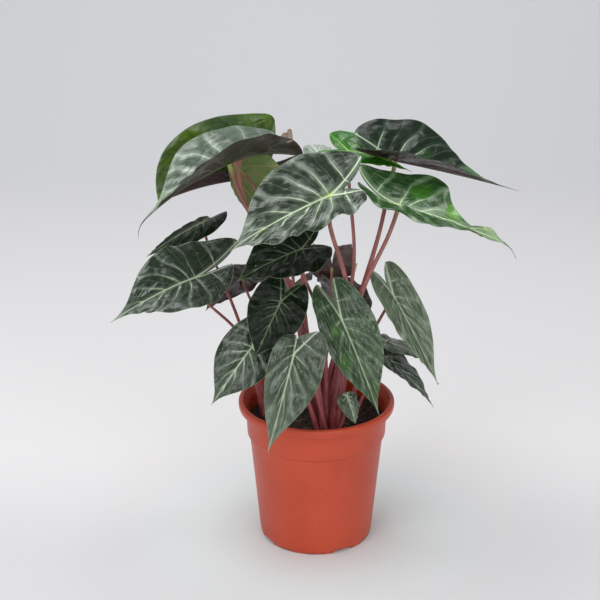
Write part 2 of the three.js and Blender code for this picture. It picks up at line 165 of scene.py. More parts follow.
class Finish:
    """A material being built. Each call adds a node and gives its output, ready to feed the next."""

    def __init__(self, name):
        self.material = bpy.data.materials.new(name)
        self.material.use_nodes = True
        self.tree = self.material.node_tree
        self.shader = self.tree.nodes["Principled BSDF"]

    def feed(self, socket, value):
        if isinstance(value, bpy.types.NodeSocket):
            self.tree.links.new(value, socket)
        else:
            socket.default_value = value

    def add(self, kind, feeds, output=0, **settings):
        node = self.tree.nodes.new("ShaderNode" + kind)
        for name, value in settings.items():
            setattr(node, name, value)
        for key, value in feeds.items():
            self.feed(node.inputs[key], value)
        return node.outputs[output]

    def measure(self, name):
        """A number that note_measure stored on every point."""
        return self.add("Attribute", {}, "Fac", attribute_name=name)

    def place(self, stretch=(1, 1, 1)):
        """The point's own place on the piece, with a pattern's stretch along each axis."""
        node = self.tree.nodes.new("ShaderNodeTexCoord")
        return self.add("Mapping", {"Vector": node.outputs["Object"], "Scale": stretch})

    def far_from(self, place):
        """The distance in mm from a place on the plant, which is given in mm too."""
        node = self.tree.nodes.new("ShaderNodeTexCoord")
        feeds = {0: node.outputs["Object"], 1: tuple(v * MM for v in place)}
        metres = self.add("VectorMath", feeds, "Value", operation="DISTANCE")
        return self.times(metres, 1 / MM)

    def point(self, x, y, z=0.0):
        return self.add("CombineXYZ", {0: x, 1: y, 2: z})

    def sum(self, operation, first, second=0.0, third=0.0):
        return self.add("Math", {0: first, 1: second, 2: third}, operation=operation)

    def times(self, first, second):
        return self.sum("MULTIPLY", first, second)

    def fade(self, value, start, end, low=0.0, high=1.0):
        """Goes smoothly from low at start to high at end."""
        return self.add("MapRange", {0: value, 1: start, 2: end, 3: low, 4: high},
                        interpolation_type="SMOOTHSTEP")

    def noise(self, vector, scale, detail=2.0, roughness=0.5):
        return self.add("TexNoise", {"Vector": vector, "Scale": scale, "Detail": detail,
                                     "Roughness": roughness})

    def speckle(self, scale, detail=2.0, roughness=0.5, stretch=(1, 1, 1)):
        """A noise fixed to the piece, with a stretch along each axis."""
        return self.noise(self.place(stretch), scale, detail, roughness)

    def mix(self, share, first, second):
        """The first colour with a share of the second in it."""
        node = self.tree.nodes.new("ShaderNodeMix")
        node.data_type = "RGBA"
        self.feed(node.inputs[0], share)
        self.feed(node.inputs[6], first)
        self.feed(node.inputs[7], second)
        return node.outputs[2]

    def blend(self, colour, other, value, start, end, low=0.0, high=1.0):
        """Mixes another colour in as a value goes from start to end."""
        return self.mix(self.fade(value, start, end, low, high), colour, tint(*other))

    def bump(self, height, depth):
        """Raises the surface by height times depth, which is in metres."""
        self.feed(self.shader.inputs["Normal"],
                  self.add("Bump", {"Height": height, "Distance": depth, "Strength": 1.0}))

    def coat(self, **feeds):
        """Feeds the shader's own sockets and hands over the finished material."""
        for name, value in feeds.items():
            self.feed(self.shader.inputs[name.replace("_", " ")], value)
        return self.material


# %% [markdown]
# ## Stage and light
#
# The backdrop is one sheet of pale paper that lies under the pot and curves up far behind it, so no edge
# shows. Its shading is painted on: darker at the front and a little darker up the far wall, and painted
# lighter round the pot, which thins the pot's shadow. A big soft panel overhead gives the leaves their silvery
# sheen. Two more stand beside the camera: the left one lights the pot's front, and the right one fills its
# other side. The pale world outside the picture keeps every shadow soft.

# %% The paper sweep
SWEEP_WIDTH = 8.0
SWEEP_FRONT = -3.2
SWEEP_BACK = 1.5
SWEEP_RADIUS = 1.3
SWEEP_HEIGHT = 3.4
PAPER_FRONT_PAINTED_SHADE = (220, 220, 222)
PAPER_MIDDLE_PAINTED_LIGHT = (237, 236, 237)
PAPER_FAR_PAINTED_SHADE = (232, 233, 236)
PAPER_POT_PAINTED_LIGHT = (234, 243, 243)
MIDDLE_DEPTHS = (-0.1, 0.25)
FAR_DEPTHS = (0.25, 2.1)
POT_PAINTED_LIGHT_REACH = (90.0, 300.0)


def sweep_point(share):
    """Along the floor, round the curve and up the wall, by share of the sheet's length."""
    floor = SWEEP_BACK - SWEEP_FRONT
    curve = SWEEP_RADIUS * math.pi / 2
    run = share * (floor + curve + SWEEP_HEIGHT)
    if run < floor:
        return SWEEP_FRONT + run, 0.0
    if run < floor + curve:
        turn = (run - floor) / SWEEP_RADIUS
        return SWEEP_BACK + SWEEP_RADIUS * math.sin(turn), SWEEP_RADIUS * (1 - math.cos(turn))
    return SWEEP_BACK + SWEEP_RADIUS, SWEEP_RADIUS + run - floor - curve


def make_sweep():
    """The sheet's middle is at the pot, and it is wide enough for its sides to stay out of sight."""
    paper = Finish("backdrop_paper")
    depth = paper.add("SeparateXYZ", {0: paper.place()}, "Y")
    # Painted shade: the paper is painted darker at the front and a little darker towards the far wall,
    # brightest just behind the pot.
    shade = paper.blend(tint(*PAPER_FRONT_PAINTED_SHADE), PAPER_MIDDLE_PAINTED_LIGHT, depth, *MIDDLE_DEPTHS)
    shade = paper.blend(shade, PAPER_FAR_PAINTED_SHADE, depth, *FAR_DEPTHS)
    # Painted light: round the pot the paper is painted brighter and a little cyan, which thins the pot's
    # shadow and its pink bounce.
    shade = paper.blend(shade, PAPER_POT_PAINTED_LIGHT, paper.far_from((0, 0, 0)), *POT_PAINTED_LIGHT_REACH, 1.0, 0.0)
    bm = bmesh.new()
    bmesh.ops.create_grid(bm, x_segments=2, y_segments=90, size=0.5)
    for vertex in bm.verts:
        depth, height = sweep_point(vertex.co.y + 0.5)
        vertex.co = (vertex.co.x * SWEEP_WIDTH, depth, height)
    sweep = finish_piece("paper_sweep", bm, [paper.coat(Base_Color=shade, Roughness=0.9)])


make_sweep()
print("paper curves up", SWEEP_BACK, "m behind the pot")

# %% The light panels
PANELS = {
    "overhead_panel": dict(place=(-0.3, 0.1, 2.4), aim=(0, 0, 0.3), size=1.6, power=30),
    "left_panel": dict(place=(-1.6, -2.7, 1.9), aim=(0, 0, 0.3), size=2.4, power=40),
    "front_fill": dict(place=(1.3, -2.9, 1.2), aim=(0, 0, 0.2), size=2.2, power=34),
}
ROOM_COLOUR = (0.82, 0.82, 0.83, 1)
ROOM_STRENGTH = 0.42


def add_panel(name, place, aim, size, power):
    """A square soft light at place that faces aim."""
    panel = bpy.data.objects.new(name, bpy.data.lights.new(name, "AREA"))
    panel.data.size = size
    panel.data.energy = power
    panel.location = place
    panel.rotation_euler = (Vector(aim) - Vector(place)).to_track_quat("-Z", "Y").to_euler()
    scene.collection.objects.link(panel)


for name, panel in PANELS.items():
    add_panel(name, **panel)
scene.world = bpy.data.worlds.new("pale_room")
scene.world.use_nodes = True
room = scene.world.node_tree.nodes["Background"].inputs
room["Color"].default_value = ROOM_COLOUR
room["Strength"].default_value = ROOM_STRENGTH
scene.view_settings.view_transform = "Standard"
print("lights:", len(PANELS), "panels and the pale room")

# %% [markdown]
# ## Where every leaf stands
#
# The plant has four shoots. Every leaf is a stalk that rises from the peat and one arrow-shaped blade that
# hangs from its joint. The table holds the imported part's dimensions in millimetres and degrees, with better
# ones where the photograph asked for them. The stalk runs from its foot past the place called by to the
# joint. Roll turns the face about the line from joint to tip, fold raises both halves in a V, arch bends the
# blade along its length and back droops the two lobes. Width, lobe and spread multiply the usual sizes of the
# half blade. A half that differs from the rest of its leaf says so under right or left.

# %% The leaves' dimensions
LEAVES = {
    "crown_front": dict(
        shoot="centre", foot=(18, -40), joint=(13, -58, 455), tip=(-92, -126, 416), by=(36, -38, 325),
        roll=-32, fold=28, curl=10, arch=18, hook=20, back=-32, spread=0.7, shoulder=0.7,
        right=dict(wave=0.5, lobe=1.1),
        left=dict(wave=6, width=0.84, shoulder=1, lobe=0.6, spread=0.8)),
    "crown_left": dict(
        shoot="centre", foot=(5, -38), joint=(-102, 0, 476), tip=(-193, -80, 434), by=(-30, -25, 330),
        roll=6, curl=8, arch=20, back=18, point=0.6, wave=0,
        right=dict(fold=52, width=0.85, shoulder=0.5, lobe=1.5),
        left=dict(fold=42, width=1.1, shoulder=0.55, lobe=1.9, spread=0.3)),
    "crown_left_back": dict(
        shoot="back", foot=(-4, 14), joint=(-85, 55, 441), tip=(-186, 5, 426), by=(-35, 30, 320),
        roll=-20, arch=26, back=-15, wave=0,
        right=dict(fold=53, curl=-5, width=1.6, shoulder=0.97, point=0.95, lobe=1.25, spread=2.7),
        left=dict(fold=80, wave=2, width=0.42, lobe=1.6, spread=0.6, shoulder=0.7)),
    "crown_right": dict(
        shoot="centre", foot=(24, -34), joint=(95, -8, 428), tip=(211, -50, 397), by=(50, -28, 320),
        roll=-12, curl=8, arch=8, back=-35, spread=0.6, twist=-10, wave=1.5, flare=0.08,
        right=dict(fold=2, width=0.9, point=0.4, shoulder=0.7, lobe=1),
        left=dict(fold=42, width=1.09, point=0.2, shoulder=0.52, wave=0, lobe=1.35, spread=0.3)),
    "crown_right_back": dict(
        shoot="back", foot=(12, 14), joint=(94, 60, 462), tip=(228, 62, 428), by=(74, 30, 380),
        roll=4, curl=8, arch=4, wave=1, lobe=0.9,
        right=dict(fold=32, width=1.2, point=0.55, shoulder=0.4),
        left=dict(fold=43, width=1.05, point=0.46, shoulder=0.43)),
    "young_back": dict(
        shoot="back", foot=(6, 18), joint=(38, 75, 470), tip=(112, 36, 455), by=(44, 22, 340),
        young=True, width=1.15, stalk=2, base=3.6,
        right=dict(width=0.8, wave=1),
        left=dict(fold=34, width=0.9, point=0.1, shoulder=0.2, wave=0, lobe=1, spread=1.5)),
    "middle_left": dict(
        shoot="left", foot=(-64, 4), joint=(-143, -20, 343), tip=(-227, -86, 319), by=(-90, -2, 260),
        roll=-35, fold=20, curl=10, arch=30, back=-25, stalk=1.5, base=4,
        right=dict(lobe=1.6, spread=0.6), left=dict(lobe=1.1, spread=0.3)),
    "middle_left_back": dict(
        shoot="left", foot=(-59, 8), joint=(-137, 48, 389), tip=(-203, 15, 356), by=(-95, 30, 270),
        roll=-30, back=-10, wave=0.3, stalk=1.5, base=4,
        right=dict(fold=-25, width=0.4, lobe=0.35, spread=0.3), left=dict(width=0.6, lobe=0.95, spread=0.15)),
    "lower_left": dict(
        shoot="centre", foot=(3, -48), joint=(-76, -62, 273), tip=(-121, -86, 213), by=(-28, -46, 235),
        roll=-50, fold=5, curl=10, stalk=1.6, base=4),
    "centre_hanging": dict(
        shoot="centre", foot=(8, -45), joint=(-42, -72, 333), tip=(-72, -92, 271), by=(-6, -50, 260),
        roll=-46, fold=5, curl=10, width=1.1, stalk=1.6, base=4),
    "centre_dark": dict(
        shoot="centre", foot=(12, -36), joint=(-19, -62, 393), tip=(-91, -105, 370), by=(6, -40, 290),
        roll=-30, fold=22, curl=8, arch=20, back=-15, stalk=1.7, base=4,
        left=dict(width=1.2, lobe=0.8)),
    "lower_centre": dict(
        shoot="centre", foot=(12, -50), joint=(-27, -102, 281), tip=(-56, -128, 173),
        by=(-4, -64, 225), roll=-50, fold=20, curl=8, arch=15, stalk=1.6, base=4,
        right=dict(width=0.58, lobe=0.45, spread=0.1),
        left=dict(width=0.78, shoulder=0.5, lobe=0.65, spread=0.9)),
    "centre_right": dict(
        shoot="centre", foot=(25, -43), joint=(28, -65, 308), tip=(70, -95, 206), by=(30, -43, 235),
        roll=32, fold=22, curl=8, arch=15, width=0.75, spread=0.5, stalk=1.7, base=4),
    "right": dict(
        shoot="right", foot=(40, 6), joint=(92, 2, 311), tip=(143, -25, 214), by=(60, 4, 245), roll=40,
        fold=32, curl=5, arch=15, width=0.56, lobe=0.85, spread=0.5, stalk=1.7, base=4),
    "right_behind": dict(
        shoot="right", foot=(44, 10), joint=(85, 25, 245), tip=(137, 0, 226), by=(60, 28, 240),
        roll=-6, width=0.9, stalk=1.3, base=3.5),
    "right_narrow": dict(
        shoot="right", foot=(45, 3), joint=(82, 15, 227), tip=(140, -10, 175), by=(64, 8, 195),
        roll=-5, fold=16, width=0.8, lobe=0.5, stalk=1.2, base=3.5),
    "small_soil": dict(
        shoot="centre", foot=(22, -48), joint=(35, -62, 210), tip=(45, -72, 179), by=(32, -56, 179),
        roll=8, lobe=0.3, spread=0.5, point=0.95, wave=0.5, stalk=1.2, base=3.5),
    "back_upright": dict(
        shoot="back", foot=(5, 24), joint=(19, 58, 328), tip=(21, 86, 293), by=(14, 40, 240), fold=5,
        back=-80, width=1.5, lobe=2.6, spread=1.9, wave=1, stalk=1.5, base=3.6),
    "back_left_low": dict(
        shoot="back", foot=(-8, 19), joint=(-90, 55, 315), tip=(-138, 76, 263), by=(-50, 30, 235),
        roll=40, fold=10, stalk=1.5, base=3.6),
    "young_hanging": dict(
        shoot="back", foot=(3, 13), joint=(-92, 30, 462), tip=(-82, 20, 409), by=(-34, 10, 330),
        young=True, roll=190, fold=5, wave=0.5, stalk=1.5, base=3.4,
        right=dict(width=2.2, shoulder=0.5), left=dict(width=0.6)),
    "back_top": dict(
        shoot="back", foot=(0, 19), joint=(3, 74, 464), tip=(-8, 128, 462), by=(-17, 50, 330),
        fold=15, width=0.75, lobe=0.7, stalk=1.8, base=4),
    "back_high": dict(
        shoot="back", foot=(-2, 25), joint=(-40, 75, 395), tip=(-75, 120, 330), by=(-26, 50, 290),
        fold=15, stalk=1.7, base=3.8),
    "back_low_left": dict(
        shoot="back", foot=(-8, 25), joint=(-35, 78, 290), tip=(-61, 116, 220), by=(-14, 50, 240),
        fold=15, stalk=1.5, base=3.6),
    "back_low_right": dict(
        shoot="back", foot=(10, 22), joint=(30, 78, 285), tip=(49, 116, 212), by=(28, 48, 235),
        fold=25, stalk=1.5, base=3.6),
    "spear": dict(
        shoot="centre", foot=(18, -33), joint=(46, -32, 366), tip=(50, -32, 380), by=(34, -32, 318),
        rolled=True, stalk=0.8, base=4.6),
}
LEAF_DEFAULTS = dict(
    width=1, lobe=1, spread=1, point=0.8, shoulder=0.58, roll=0, fold=0, curl=15, arch=20, back=5, hook=0,
    twist=0, wave=2, flare=0, stalk=2.4, base=5.5, young=False, rolled=False, right={}, left={})

# %% [markdown]
# ## What each leaf looks like
#
# Old leaves are nearly black between silvery veins, leaves in full light are painted paler with their sheen,
# and young ones are plain green. The second table picks one top finish and one underside for each leaf and its
# number of side veins. Tail is the length of the thin drip tip, as a share of the blade. Frill is how far the
# margin waves and quilt is how far the skin swells between two veins, both in millimetres.

# %% The leaves' looks
LOOKS = {
    "crown_front": dict(top="crown", frill=2.2, tail=0.05, quilt=3),
    "crown_left": dict(top="pale", under="olive", frill=1.2, tail=0.18, tail_droop=60, quilt=2),
    "crown_left_back": dict(top="backlit", quilt=1.2),
    "crown_right": dict(top="crown_right", frill=1, tail=0.2, tail_droop=55, quilt=1.6),
    "crown_right_back": dict(top="far", tail=0.12),
    "young_back": dict(top="young", under="young", quilt=0.7),
    "middle_left": dict(frill=1.2, tail=0.1),
    "middle_left_back": dict(top="dark"),
    "lower_left": dict(tail=0.08),
    "centre_hanging": dict(top="dark", quilt=1),
    "centre_dark": dict(top="dark", frill=1.2, quilt=1),
    "lower_centre": dict(top="grey", tail=0.05),
    "centre_right": dict(top="green", tail=0.05),
    "right": dict(top="right", tail=0.06),
    "right_behind": dict(top="right", veins=4),
    "right_narrow": dict(veins=4, tail=0.06),
    "small_soil": dict(top="grey", veins=4, quilt=0.5),
    "back_upright": dict(top="dark", under="mauve", veins=6),
    "back_left_low": dict(top="dark", veins=4),
    "young_hanging": dict(top="young", under="young", quilt=0.6),
    "back_top": dict(top="pale"),
    "back_low_left": dict(top="dark"),
    "back_low_right": dict(top="dark"),
}
LOOK_DEFAULTS = dict(top="middle", under="purple", veins=5, frill=0.8, tail=0, tail_droop=0, quilt=1.8)
SEED_STEP = 1.7


class Leaf:
    """One leaf's dimensions and looks. Its right and left halves may differ, as left and right say."""

    def __init__(self, name, number):
        self.name, self.number = name, number
        for table in (LEAF_DEFAULTS, LOOK_DEFAULTS, LEAVES[name], LOOKS.get(name, {})):
            self.__dict__.update(table)
        self.joint, self.tip, self.by = (np.array(v, float) for v in (self.joint, self.tip, self.by))
        self.seed = number * SEED_STEP

    def half(self, side):
        """The dimensions of one half: 1 for the right, -1 for the left."""
        return SimpleNamespace(**{**self.__dict__, **(self.right if side > 0 else self.left)})


leaves = [Leaf(name, number) for number, name in enumerate(LEAVES)]
print("leaves:", len(leaves))

# %% [markdown]
# ## The outline of a flat blade
#
# One half is enough, because the other is its mirror. The blade is measured in shares of its length: the
# joint is at 0, the tip at 1 and the two lobes reach back below 0. Bezier curves draw the margin, the rib
# that runs down into each lobe, and the notch between the lobes.

# %% Curves of the half blade
HALF_WIDTH = 0.42
LOBE = 0.42
LOBE_SPREAD = 0.2
MARGIN_POINTS = 300
WIDEST_AT = 0.14
TIP_SLIMNESS = 0.02
FLARE_AT = 0.84
FLARE_REACH = 0.06
FUSED = 0.16
FUSED_SHARE = 1 / 3
JOINT_SHARE = 0.7


def bezier(share, *corners):
    """The points of a Bezier curve at an array of shares."""
    lines = [np.tile(np.array(corner, float), (len(share), 1)) for corner in corners]
    while len(lines) > 1:
        lines = [a + (b - a) * share[:, None] for a, b in zip(lines, lines[1:])]
    return lines[0]


def past(share, start):
    """How far a share is past start, from 0 there to 1 at the end."""
    return np.clip((share - start) / (1 - start), 0, 1)


def margin_at(leaf, share):
    """The margin's points by share of its length, from the tip to the end of the lobe."""
    width, lobe, spread = HALF_WIDTH * leaf.width, LOBE * leaf.lobe, LOBE_SPREAD * leaf.spread
    run = np.linspace(0, 1, MARGIN_POINTS)
    upper = bezier(run, (0, 1), (TIP_SLIMNESS, leaf.point), (width, leaf.shoulder), (width, WIDEST_AT))
    lower = bezier(run, (width, WIDEST_AT), (width, -0.12), (spread + 0.13, -lobe), (spread, -lobe))
    line = np.vstack([upper, lower[1:]])
    line[:, 0] += leaf.flare * np.exp(-((line[:, 1] - FLARE_AT) / FLARE_REACH) ** 2)
    return points_along(line, share)


def rib_at(leaf, share):
    """Down the midrib to the joint, and from there along the rib into the lobe."""
    lobe, spread = LOBE * leaf.lobe, LOBE_SPREAD * leaf.spread
    midrib = np.column_stack([np.zeros_like(share), 1 - share / JOINT_SHARE])
    costa = bezier(past(share, JOINT_SHARE), (0, 0), (spread * 0.42, -lobe * 0.45), (spread, -lobe))
    return np.where((share <= JOINT_SHARE)[:, None], midrib, costa)


def notch_at(leaf, share):
    """Down the middle of the fused part, and from there along the edge of the notch."""
    lobe, spread = LOBE * leaf.lobe, LOBE_SPREAD * leaf.spread
    fused = np.column_stack([np.zeros_like(share), -FUSED * share / FUSED_SHARE])
    sinus = bezier(past(share, FUSED_SHARE), (0, -FUSED), (spread * 0.25, -lobe * 0.8), (spread, -lobe))
    return np.where((share <= FUSED_SHARE)[:, None], fused, sinus)


# %% Rows that follow the side veins
VEIN_SLANT = 0.15
VEIN_SWEEP = 0.15
VEIN_WANDER = 0.025


def flat_point(leaf, row, across):
    """The flat blade's point by vein row, and by share of the way from rib 0 to margin 1 or notch -1."""
    share = np.clip(row * JOINT_SHARE / leaf.veins, 0, 1)
    outwards = np.clip(across, 0, 1)
    wander = VEIN_WANDER * np.sin(7 * outwards + 2.3 * row + leaf.seed) * outwards
    swept = np.clip(share - (VEIN_SWEEP * (0.6 + 0.4 * outwards) - wander) * np.sin(np.pi * share), 0, 1)
    slant = VEIN_SLANT * np.sin(np.pi * share / JOINT_SHARE) * (share < JOINT_SHARE)
    rib = rib_at(leaf, share + slant)
    outer = margin_at(leaf, swept)
    inner = notch_at(leaf, past(share, JOINT_SHARE))
    return rib + (np.where((across < 0)[:, None], inner, outer) - rib) * np.abs(across)[:, None]


# %% [markdown]
# ## Bending the blade
#
# A flat blade becomes a leaf in one formula. The midrib bends down along its length, each half rises from it
# and curls over towards the margin, a ripple runs along the edge, and the whole is turned and scaled to reach
# from its joint to its tip.

# %% From flat to bent
HOOK_AT = 0.75
SPINE_STEPS = 24
CHORD_STEPS = 16
RIPPLES = 2.5


def slope_at(leaf, y):
    """The midrib's slope below level at a share of the blade's length, in radians."""
    tail = leaf.tail_droop * np.clip(y - 1, 0, 1) / max(leaf.tail, 0.01)
    front = leaf.arch * y + leaf.hook * past(y, HOOK_AT) ** 2 + tail
    return DEGREE * np.where(y < 0, leaf.back * y / LOBE, front)


def spine_at(leaf, y, steps=SPINE_STEPS):
    """How far the bent midrib has gone forward and up, by summing short steps."""
    forward, up = np.zeros_like(y), np.zeros_like(y)
    for step in range(steps):
        slope = slope_at(leaf, y * (step + 0.5) / steps)
        forward += np.cos(slope) * y / steps
        up -= np.sin(slope) * y / steps
    return forward, up


def bend_blade(leaf, x, y):
    """The flat blade's points on the bent blade, in shares of its length."""
    side = np.where(x < 0, -1, 1)
    reach = np.abs(x)
    halves = leaf.half(-1), leaf.half(1)
    fold, curl, wave = (np.where(x < 0, *(getattr(half, key) for half in halves))
                        for key in ("fold", "curl", "wave"))
    start = DEGREE * fold
    bend = DEGREE / HALF_WIDTH * curl
    turn = start - bend * reach
    across = (np.sin(start) - np.sin(turn)) / bend
    height = (np.cos(turn) - np.cos(start)) / bend
    ripple = wave / leaf.length * np.sin(2 * np.pi * RIPPLES * y + side * 1.2 + leaf.seed)
    height = height + ripple * (reach / HALF_WIDTH) ** 2
    winding = leaf.twist * DEGREE * np.maximum(0, y)
    level = side * across * np.cos(winding) - height * np.sin(winding)
    raised = side * across * np.sin(winding) + height * np.cos(winding)
    slope = slope_at(leaf, y)
    forward, up = spine_at(leaf, y)
    return np.column_stack([level, forward + raised * np.sin(slope), up + raised * np.cos(slope)])


def unit(vector):
    return vector / np.linalg.norm(vector)


def settle(leaf):
    """Works out the leaf's length and the turn from its own axes to the plant's."""
    forward, up = (v[0] for v in spine_at(leaf, np.array([1.0]), CHORD_STEPS))
    chord = leaf.tip - leaf.joint
    leaf.length = np.linalg.norm(chord) / math.hypot(forward, up)
    ahead = unit(chord)
    level = unit(np.array([0, 0, 1]) - ahead * ahead[2])
    facing = level * math.cos(leaf.roll * DEGREE) + np.cross(ahead, level) * math.sin(leaf.roll * DEGREE)
    turn = -math.atan2(up, forward)
    pitch = np.array([[1, 0, 0], [0, math.cos(turn), -math.sin(turn)], [0, math.sin(turn), math.cos(turn)]])
    leaf.axes = np.column_stack([np.cross(ahead, facing), ahead, facing]) @ pitch
    leaf.normal = ahead if leaf.rolled else leaf.axes[:, 2]


def place_blade(leaf, x, y, step=1e-3):
    """Points of the bent blade and its normals, in the plant's millimetres."""
    points = bend_blade(leaf, x, y)
    along = bend_blade(leaf, x, y + step) - bend_blade(leaf, x, y - step)
    across = bend_blade(leaf, x + step, y) - bend_blade(leaf, x - step, y)
    normals = np.cross(across, along)
    normals /= np.linalg.norm(normals, axis=1)[:, None]
    return leaf.joint + leaf.length * points @ leaf.axes.T, normals @ leaf.axes.T


for leaf in leaves:
    settle(leaf)
print("longest blade:", round(max(leaf.length for leaf in leaves)), "mm")

# %% [markdown]
# ## Finishes of the blades
#
# The leaf is nearly black green. Along each vein the cells hold air, which gives a silvery band that breaks
# up into brush strokes beside the vein. The strokes run as the side veins run, so the pattern reads two
# numbers that every point of a blade carries: its vein row and its share of the way to the margin. Lines are
# drawn by distance in millimetres, so a vein is equally wide on a big leaf and a small one.

# %% The silver beside the veins
def silver_share(finish, halo, brush, fine, grain):
    """How silvery the leaf is at each point, with cloudy patches of painted sheen added, the brush strokes in
    it and the clouds that thin it out.

    Halo is the silver's reach beside a vein in mm and brush is how far its strokes reach. Fine is how much
    detail they have, and grain is how many fit between two veins and along one.
    """
    row, across = finish.measure("row"), finish.measure("across")
    strokes = finish.point(finish.times(row, grain[0]), finish.times(across, grain[1]))
    strokes = finish.noise(strokes, 1.0, fine, 0.62)
    clouds = finish.speckle(38.0, 3.0)
    feather = finish.sum("MULTIPLY_ADD", strokes, -brush, brush / 2)
    beside = finish.sum("ADD", finish.measure("from_vein"), feather)
    beside_rib = finish.sum("ADD", finish.measure("from_rib"), feather)
    silver_and_sheen = finish.sum("MAXIMUM", finish.fade(beside, 0.4, halo, 1.0, 0.0),
                        finish.fade(beside_rib, 1.0, halo * 1.7, 1.0, 0.0))
    silver_and_sheen = finish.times(silver_and_sheen, finish.fade(clouds, 0.3, 0.6, 0.35, 1.0))
    # Painted sheen: broad cloudy grey patches are added to the silver.
    silver_and_sheen = finish.sum("MULTIPLY_ADD", finish.fade(clouds, 0.5, 0.68), 0.35, silver_and_sheen)
    return silver_and_sheen, strokes, clouds


# %% The veins drawn on top
def draw_veins(finish, colour, vein, heart, strength, ends):
    """Draws the fine veins, the side veins, the midrib and the bright heart at the joint."""
    reach = finish.sum("ABSOLUTE", finish.measure("across"))
    colour = finish.blend(colour, vein, finish.measure("from_minor"), 0.1, 0.5, 0.16, 0.0)
    thickness = finish.sum("MULTIPLY_ADD", reach, -0.75, 1.05)
    line = finish.sum("DIVIDE", finish.measure("from_vein"), thickness)
    line = finish.fade(line, 0.4, 1.25, strength, 0.0)
    line = finish.times(line, finish.fade(reach, ends * 0.25, ends, 1.0, 0.1))
    colour = finish.mix(line, colour, tint(*vein))
    midrib = finish.sum("DIVIDE", finish.measure("from_rib"), finish.measure("rib_width"))
    midrib = finish.fade(midrib, 0.7, 1.25, 1.0, 0.0)
    colour = finish.mix(finish.times(midrib, min(1, strength + 0.2)), colour, tint(*vein))
    glow = finish.fade(finish.measure("from_joint"), 1.0, 12.0, 0.8, 0.0)
    glow = finish.times(glow, finish.sum("MAXIMUM", midrib, line))
    return finish.mix(glow, colour, tint(*heart))


# %% The puckered skin
def pucker_skin(finish, strokes, pucker):
    """Raises soft folds along the veins' rows. They end at the midrib, which stays smooth."""
    row, across = finish.measure("row"), finish.times(finish.measure("across"), 4.0)
    folds = finish.noise(finish.point(row, across), 1.0, 1.0)
    folds = finish.sum("ABSOLUTE", finish.sum("SUBTRACT", folds, 0.5))
    soft = finish.speckle(55.0, 1.0)
    height = finish.sum("MULTIPLY_ADD", folds, 2.0, finish.times(soft, 1.4))
    height = finish.sum("MULTIPLY_ADD", strokes, 0.06, height)
    height = finish.times(height, finish.fade(finish.measure("from_rib"), 0.5, 6.0, 0.0, pucker))
    finish.bump(height, 0.0024)


# %% The top of a blade
SHADE = 0.78


def blade_top(name, deep, silver, vein, edge=(120, 148, 104), heart=None, spots=(), halo=5.0, plenty=0.5,
              strength=0.8, ends=1.0, brush=11.0, fine=5.0, grain=(5.0, 3.5), gloss=0.26, pucker=1.0,
              shine=0.5):
    """A top finish: the deep green, the silver on it, the veins, and the line along the margin.

    Plenty says how much silver and painted sheen there is. The side veins fade out at the share ends of their
    length, and heart is the colour at the joint. Spots are patches of another colour: a place on the plant and
    a radius in mm, then the colour; three of them are painted sheen and one is painted shadow. Gloss is the
    skin's roughness and shine is how much it mirrors.
    """
    finish = Finish("leaf_" + name)
    silver_and_sheen, strokes, clouds = silver_share(finish, halo, brush, fine, grain)
    colour = finish.blend(tint(*deep), [v * SHADE for v in deep], clouds, 0.35, 0.65)
    colour = finish.mix(finish.times(silver_and_sheen, plenty), colour, tint(*silver))
    for place, radius, spot in spots:
        ragged = finish.sum("MULTIPLY_ADD", clouds, radius * 1.6, finish.far_from(place))
        colour = finish.blend(colour, spot, ragged, radius * 1.2, radius * 2.0, 0.85, 0.0)
    colour = draw_veins(finish, colour, vein, heart or vein, strength, ends)
    colour = finish.blend(colour, edge, finish.measure("from_edge"), 0.2, 0.8, 0.7, 0.0)
    pucker_skin(finish, strokes, pucker)
    rough = finish.sum("MULTIPLY_ADD", clouds, 0.24, gloss - 0.12)
    return finish.coat(Base_Color=colour, Roughness=rough, Specular_IOR_Level=shine, Coat_Weight=shine * 0.6,
                       Coat_Roughness=0.14)
